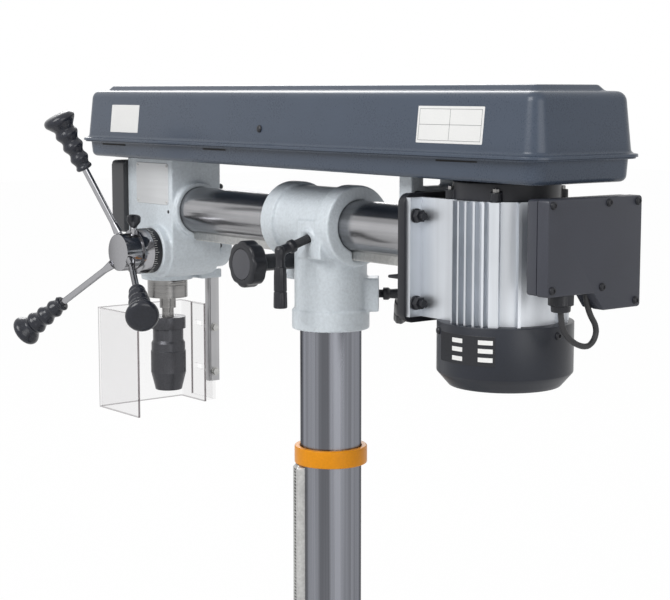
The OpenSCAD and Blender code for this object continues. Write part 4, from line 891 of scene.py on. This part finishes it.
# Belt drive under the cover: two cast aluminium step pulleys and a rubber V-belt.
# The belt lies on two steps of equal size, and the front pulley turns on bearings of its own.
cast_aluminium = finish("cast aluminium", (0.6, 0.61, 0.62), metal=1, rough=0.4, grain=200, vary=0.1)
belt_rubber = finish("belt rubber", (0.02, 0.02, 0.02), rough=0.7, grain=500, vary=0.15, bump=0.2,
                     depth=0.0003)
coat_nodes(cast_aluminium, "spindle_pulley", "motor_pulley")
coat_nodes(turned_steel, "pulley_bearings")
coat_nodes(belt_rubber, "v_belt")

# Rear bracket: a casting on the ram's back end that holds the cover and guides the motor plate's two rods.
# A bent wire hangs under it.
poured("rear_bracket_skin", "rear_bracket", 0.0014, 4, cast_paint)
reworked("bracket_wire", "bracket_loop", black_coat, [])
eased("motor_plate_slab", "motor_plate", 0.0012, black_coat)

# Motor: a drawn aluminium housing with fins, a black end bell on top and a pressed fan cowl below.
# Three button screws hold the cowl, and a label with empty white fields is stuck round it.
drawn_aluminium = finish("drawn aluminium", (0.62, 0.645, 0.68), metal=1, rough=0.42, grain=100,
                         stretch=(1, 1, 0.03), vary=0.08)
cowl_grey = finish("cowl grey", (0.014, 0.0165, 0.024), rough=0.38, grain=800, vary=0.15, bump=0.12,
                   depth=0.0002, shine=0.36)
box_grey = finish("terminal box grey", (0.038, 0.041, 0.054), rough=0.4, grain=800, vary=0.12, bump=0.15,
                  depth=0.0002, shine=0.4)
coat_nodes(drawn_aluminium, "motor_housing")
coat_nodes(forged_steel, "stator")
reworked("rotor_turned", "rotor", forged_steel, [])
eased("fan_cowl_pressing", "fan_cowl", 0.0018, cowl_grey)
poured("end_bell_skin", "motor_end_bell", 0.001, 4, black_coat)
motor_axis = np.array((0, motor_y, ram_z))
cowl_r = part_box("fan_cowl")[1].x * 1000


def socket_heads(places, axis, radius, rise, sides=24):
    """Button heads with a round socket at places: a low dome whose middle is sunk by most of its rise."""
    profile = filleted([
        (radius, -0.6), (radius, rise * 0.35), (radius * 0.72, rise), (radius * 0.45, rise),
        (radius * 0.4, rise * 0.3), (0.2, rise * 0.2),
    ], [rise * 0.3, rise * 0.4, 0.15, 0.1], steps=4)
    return copies(profile, places, axis, sides)


def round_wall(degrees, heights, levels, steps=12):
    """A patch on the cowl's round wall: one loop of angles and heights for each (inset, radius) level."""
    loops = []
    for inset, radius in levels:
        lean = math.degrees(inset / radius)
        a = np.radians(np.linspace(degrees[0] + lean, degrees[1] - lean, steps))
        low, high = heights[0] + inset, heights[1] - inset
        turn = np.concatenate([a, a[::-1]])
        z = np.concatenate([np.full(steps, low), np.full(steps, high)])
        loops.append(np.column_stack([radius * np.cos(turn), radius * np.sin(turn), z]) / 1000 + motor_axis)
    return skin(np.stack(loops))


label_levels = [(0, cowl_r - 0.3), (0, cowl_r + 0.2), (0.2, cowl_r + 0.3)]
piece("cowl_label", round_wall((-20.5, 38), (-121, -90.5), label_levels, 30), black_plastic, "motor",
      sharp=15)
field_levels = [(0, cowl_r), (0, cowl_r + 0.36), (0.1, cowl_r + 0.42)]
piece("label_fields", joined(*[
    round_wall(degrees, (top - 4.6, top), field_levels)
    for degrees, tops in (((-2.4, 8.9), (-94.4, -103.3, -112.8)), ((23.6, 36.1), (-94.4, -103, -112)))
    for top in tops]), white_ink, "motor", sharp=15)
cowl_screw_z = -0.0915
cowl_screws = []
for out in map(heading, (-26.5, 94, 214)):
    cowl_screws.append(socket_heads([motor_axis + out * cowl_r / 1000 + (0, 0, cowl_screw_z)], out, 4, 2.6))
piece("cowl_screws", joined(*cowl_screws), black_coat, "motor")
lug_reach, lug_top = 0.058, 0.054
lug_places = [motor_axis + heading(degrees) * lug_reach + (0, 0, lug_top) for degrees in (35, 145, 215, 325)]
hex_head = filleted([(3.6, -0.5), (3.6, 3.6), (0.3, 4)], [0.6])
piece("bell_screws", copies(hex_head, lug_places, (0, 0, 1), 6), turned_steel, "motor")

# Terminal box: a moulded two-part box on the motor's back, closed by six screws, with a ribbed gland below.
# The parting line shows as a fine groove round its wall.
box_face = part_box("terminal_box")[1].y * 1000
box_depth = 29
box_line = np.array([(66, 51), (-66, 51), (-66, -60), (-13.2, -60), (0.7, -42), (66, -42)], float)


def drawn_in(outline, inset):
    """The outline with each edge moved inwards by the inset; corners slide along their bisectors."""
    ahead = np.roll(outline, -1, axis=0) - outline
    ahead /= np.linalg.norm(ahead, axis=1)[:, None]
    normal = np.column_stack([-ahead[:, 1], ahead[:, 0]])
    earlier = np.roll(normal, 1, axis=0)
    return outline + inset * (normal + earlier) / (1 + (normal * earlier).sum(axis=1))[:, None]


box_rings = []
for inset, y in (
    (1.4, 0), (0.4, 0.4), (0, 1.4), (0, 13.4), (0.9, 13.7), (0.9, 14.6), (-0.5, 14.9), (-0.5, 27.4),
    (0, 28.6), (1.2, box_depth),
):
    flat = filleted(drawn_in(box_line, inset), 3, steps=5, closed=True)
    box_rings.append(np.insert(flat, 1, box_face - box_depth + y, axis=1) / 1000 + (0, 0, ram_z))
piece("terminal_box_moulding", skin(np.stack(box_rings)), box_grey, "motor",
      node="terminal_box", sharp=30)
box_screw_places = [(x / 1000, box_face / 1000, ram_z + z / 1000)
                    for x, z in ((60, 46), (-18, 46), (-60, 46), (60, -36), (-10, -37), (-59, -54))]
piece("box_screws", socket_heads(box_screw_places, (0, 1, 0), 4, 2.7), black_coat, "motor")
coat_nodes(black_coat, "motor_screws")
gland_low, gland_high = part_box("cable_gland")
gland_h = (gland_high.z - gland_low.z) * 1000
gland_place = ((gland_low.x + gland_high.x) / 2, (gland_low.y + gland_high.y) / 2, gland_high.z)
gland_profile = filleted([(0.3, 0), (12.8, 0), (12.8, 11), (10, 12), (9.6, gland_h), (3.05, gland_h)],
                         [0.6, 1, 0.5, 1.5])
gland_rings = knurled(gland_profile, gland_place, (0, 0, -1), 16, 1.1, (1.5, 10.5), 128)
piece("cable_gland_moulding", skin(gland_rings), black_plastic, "motor",
      node="cable_gland")
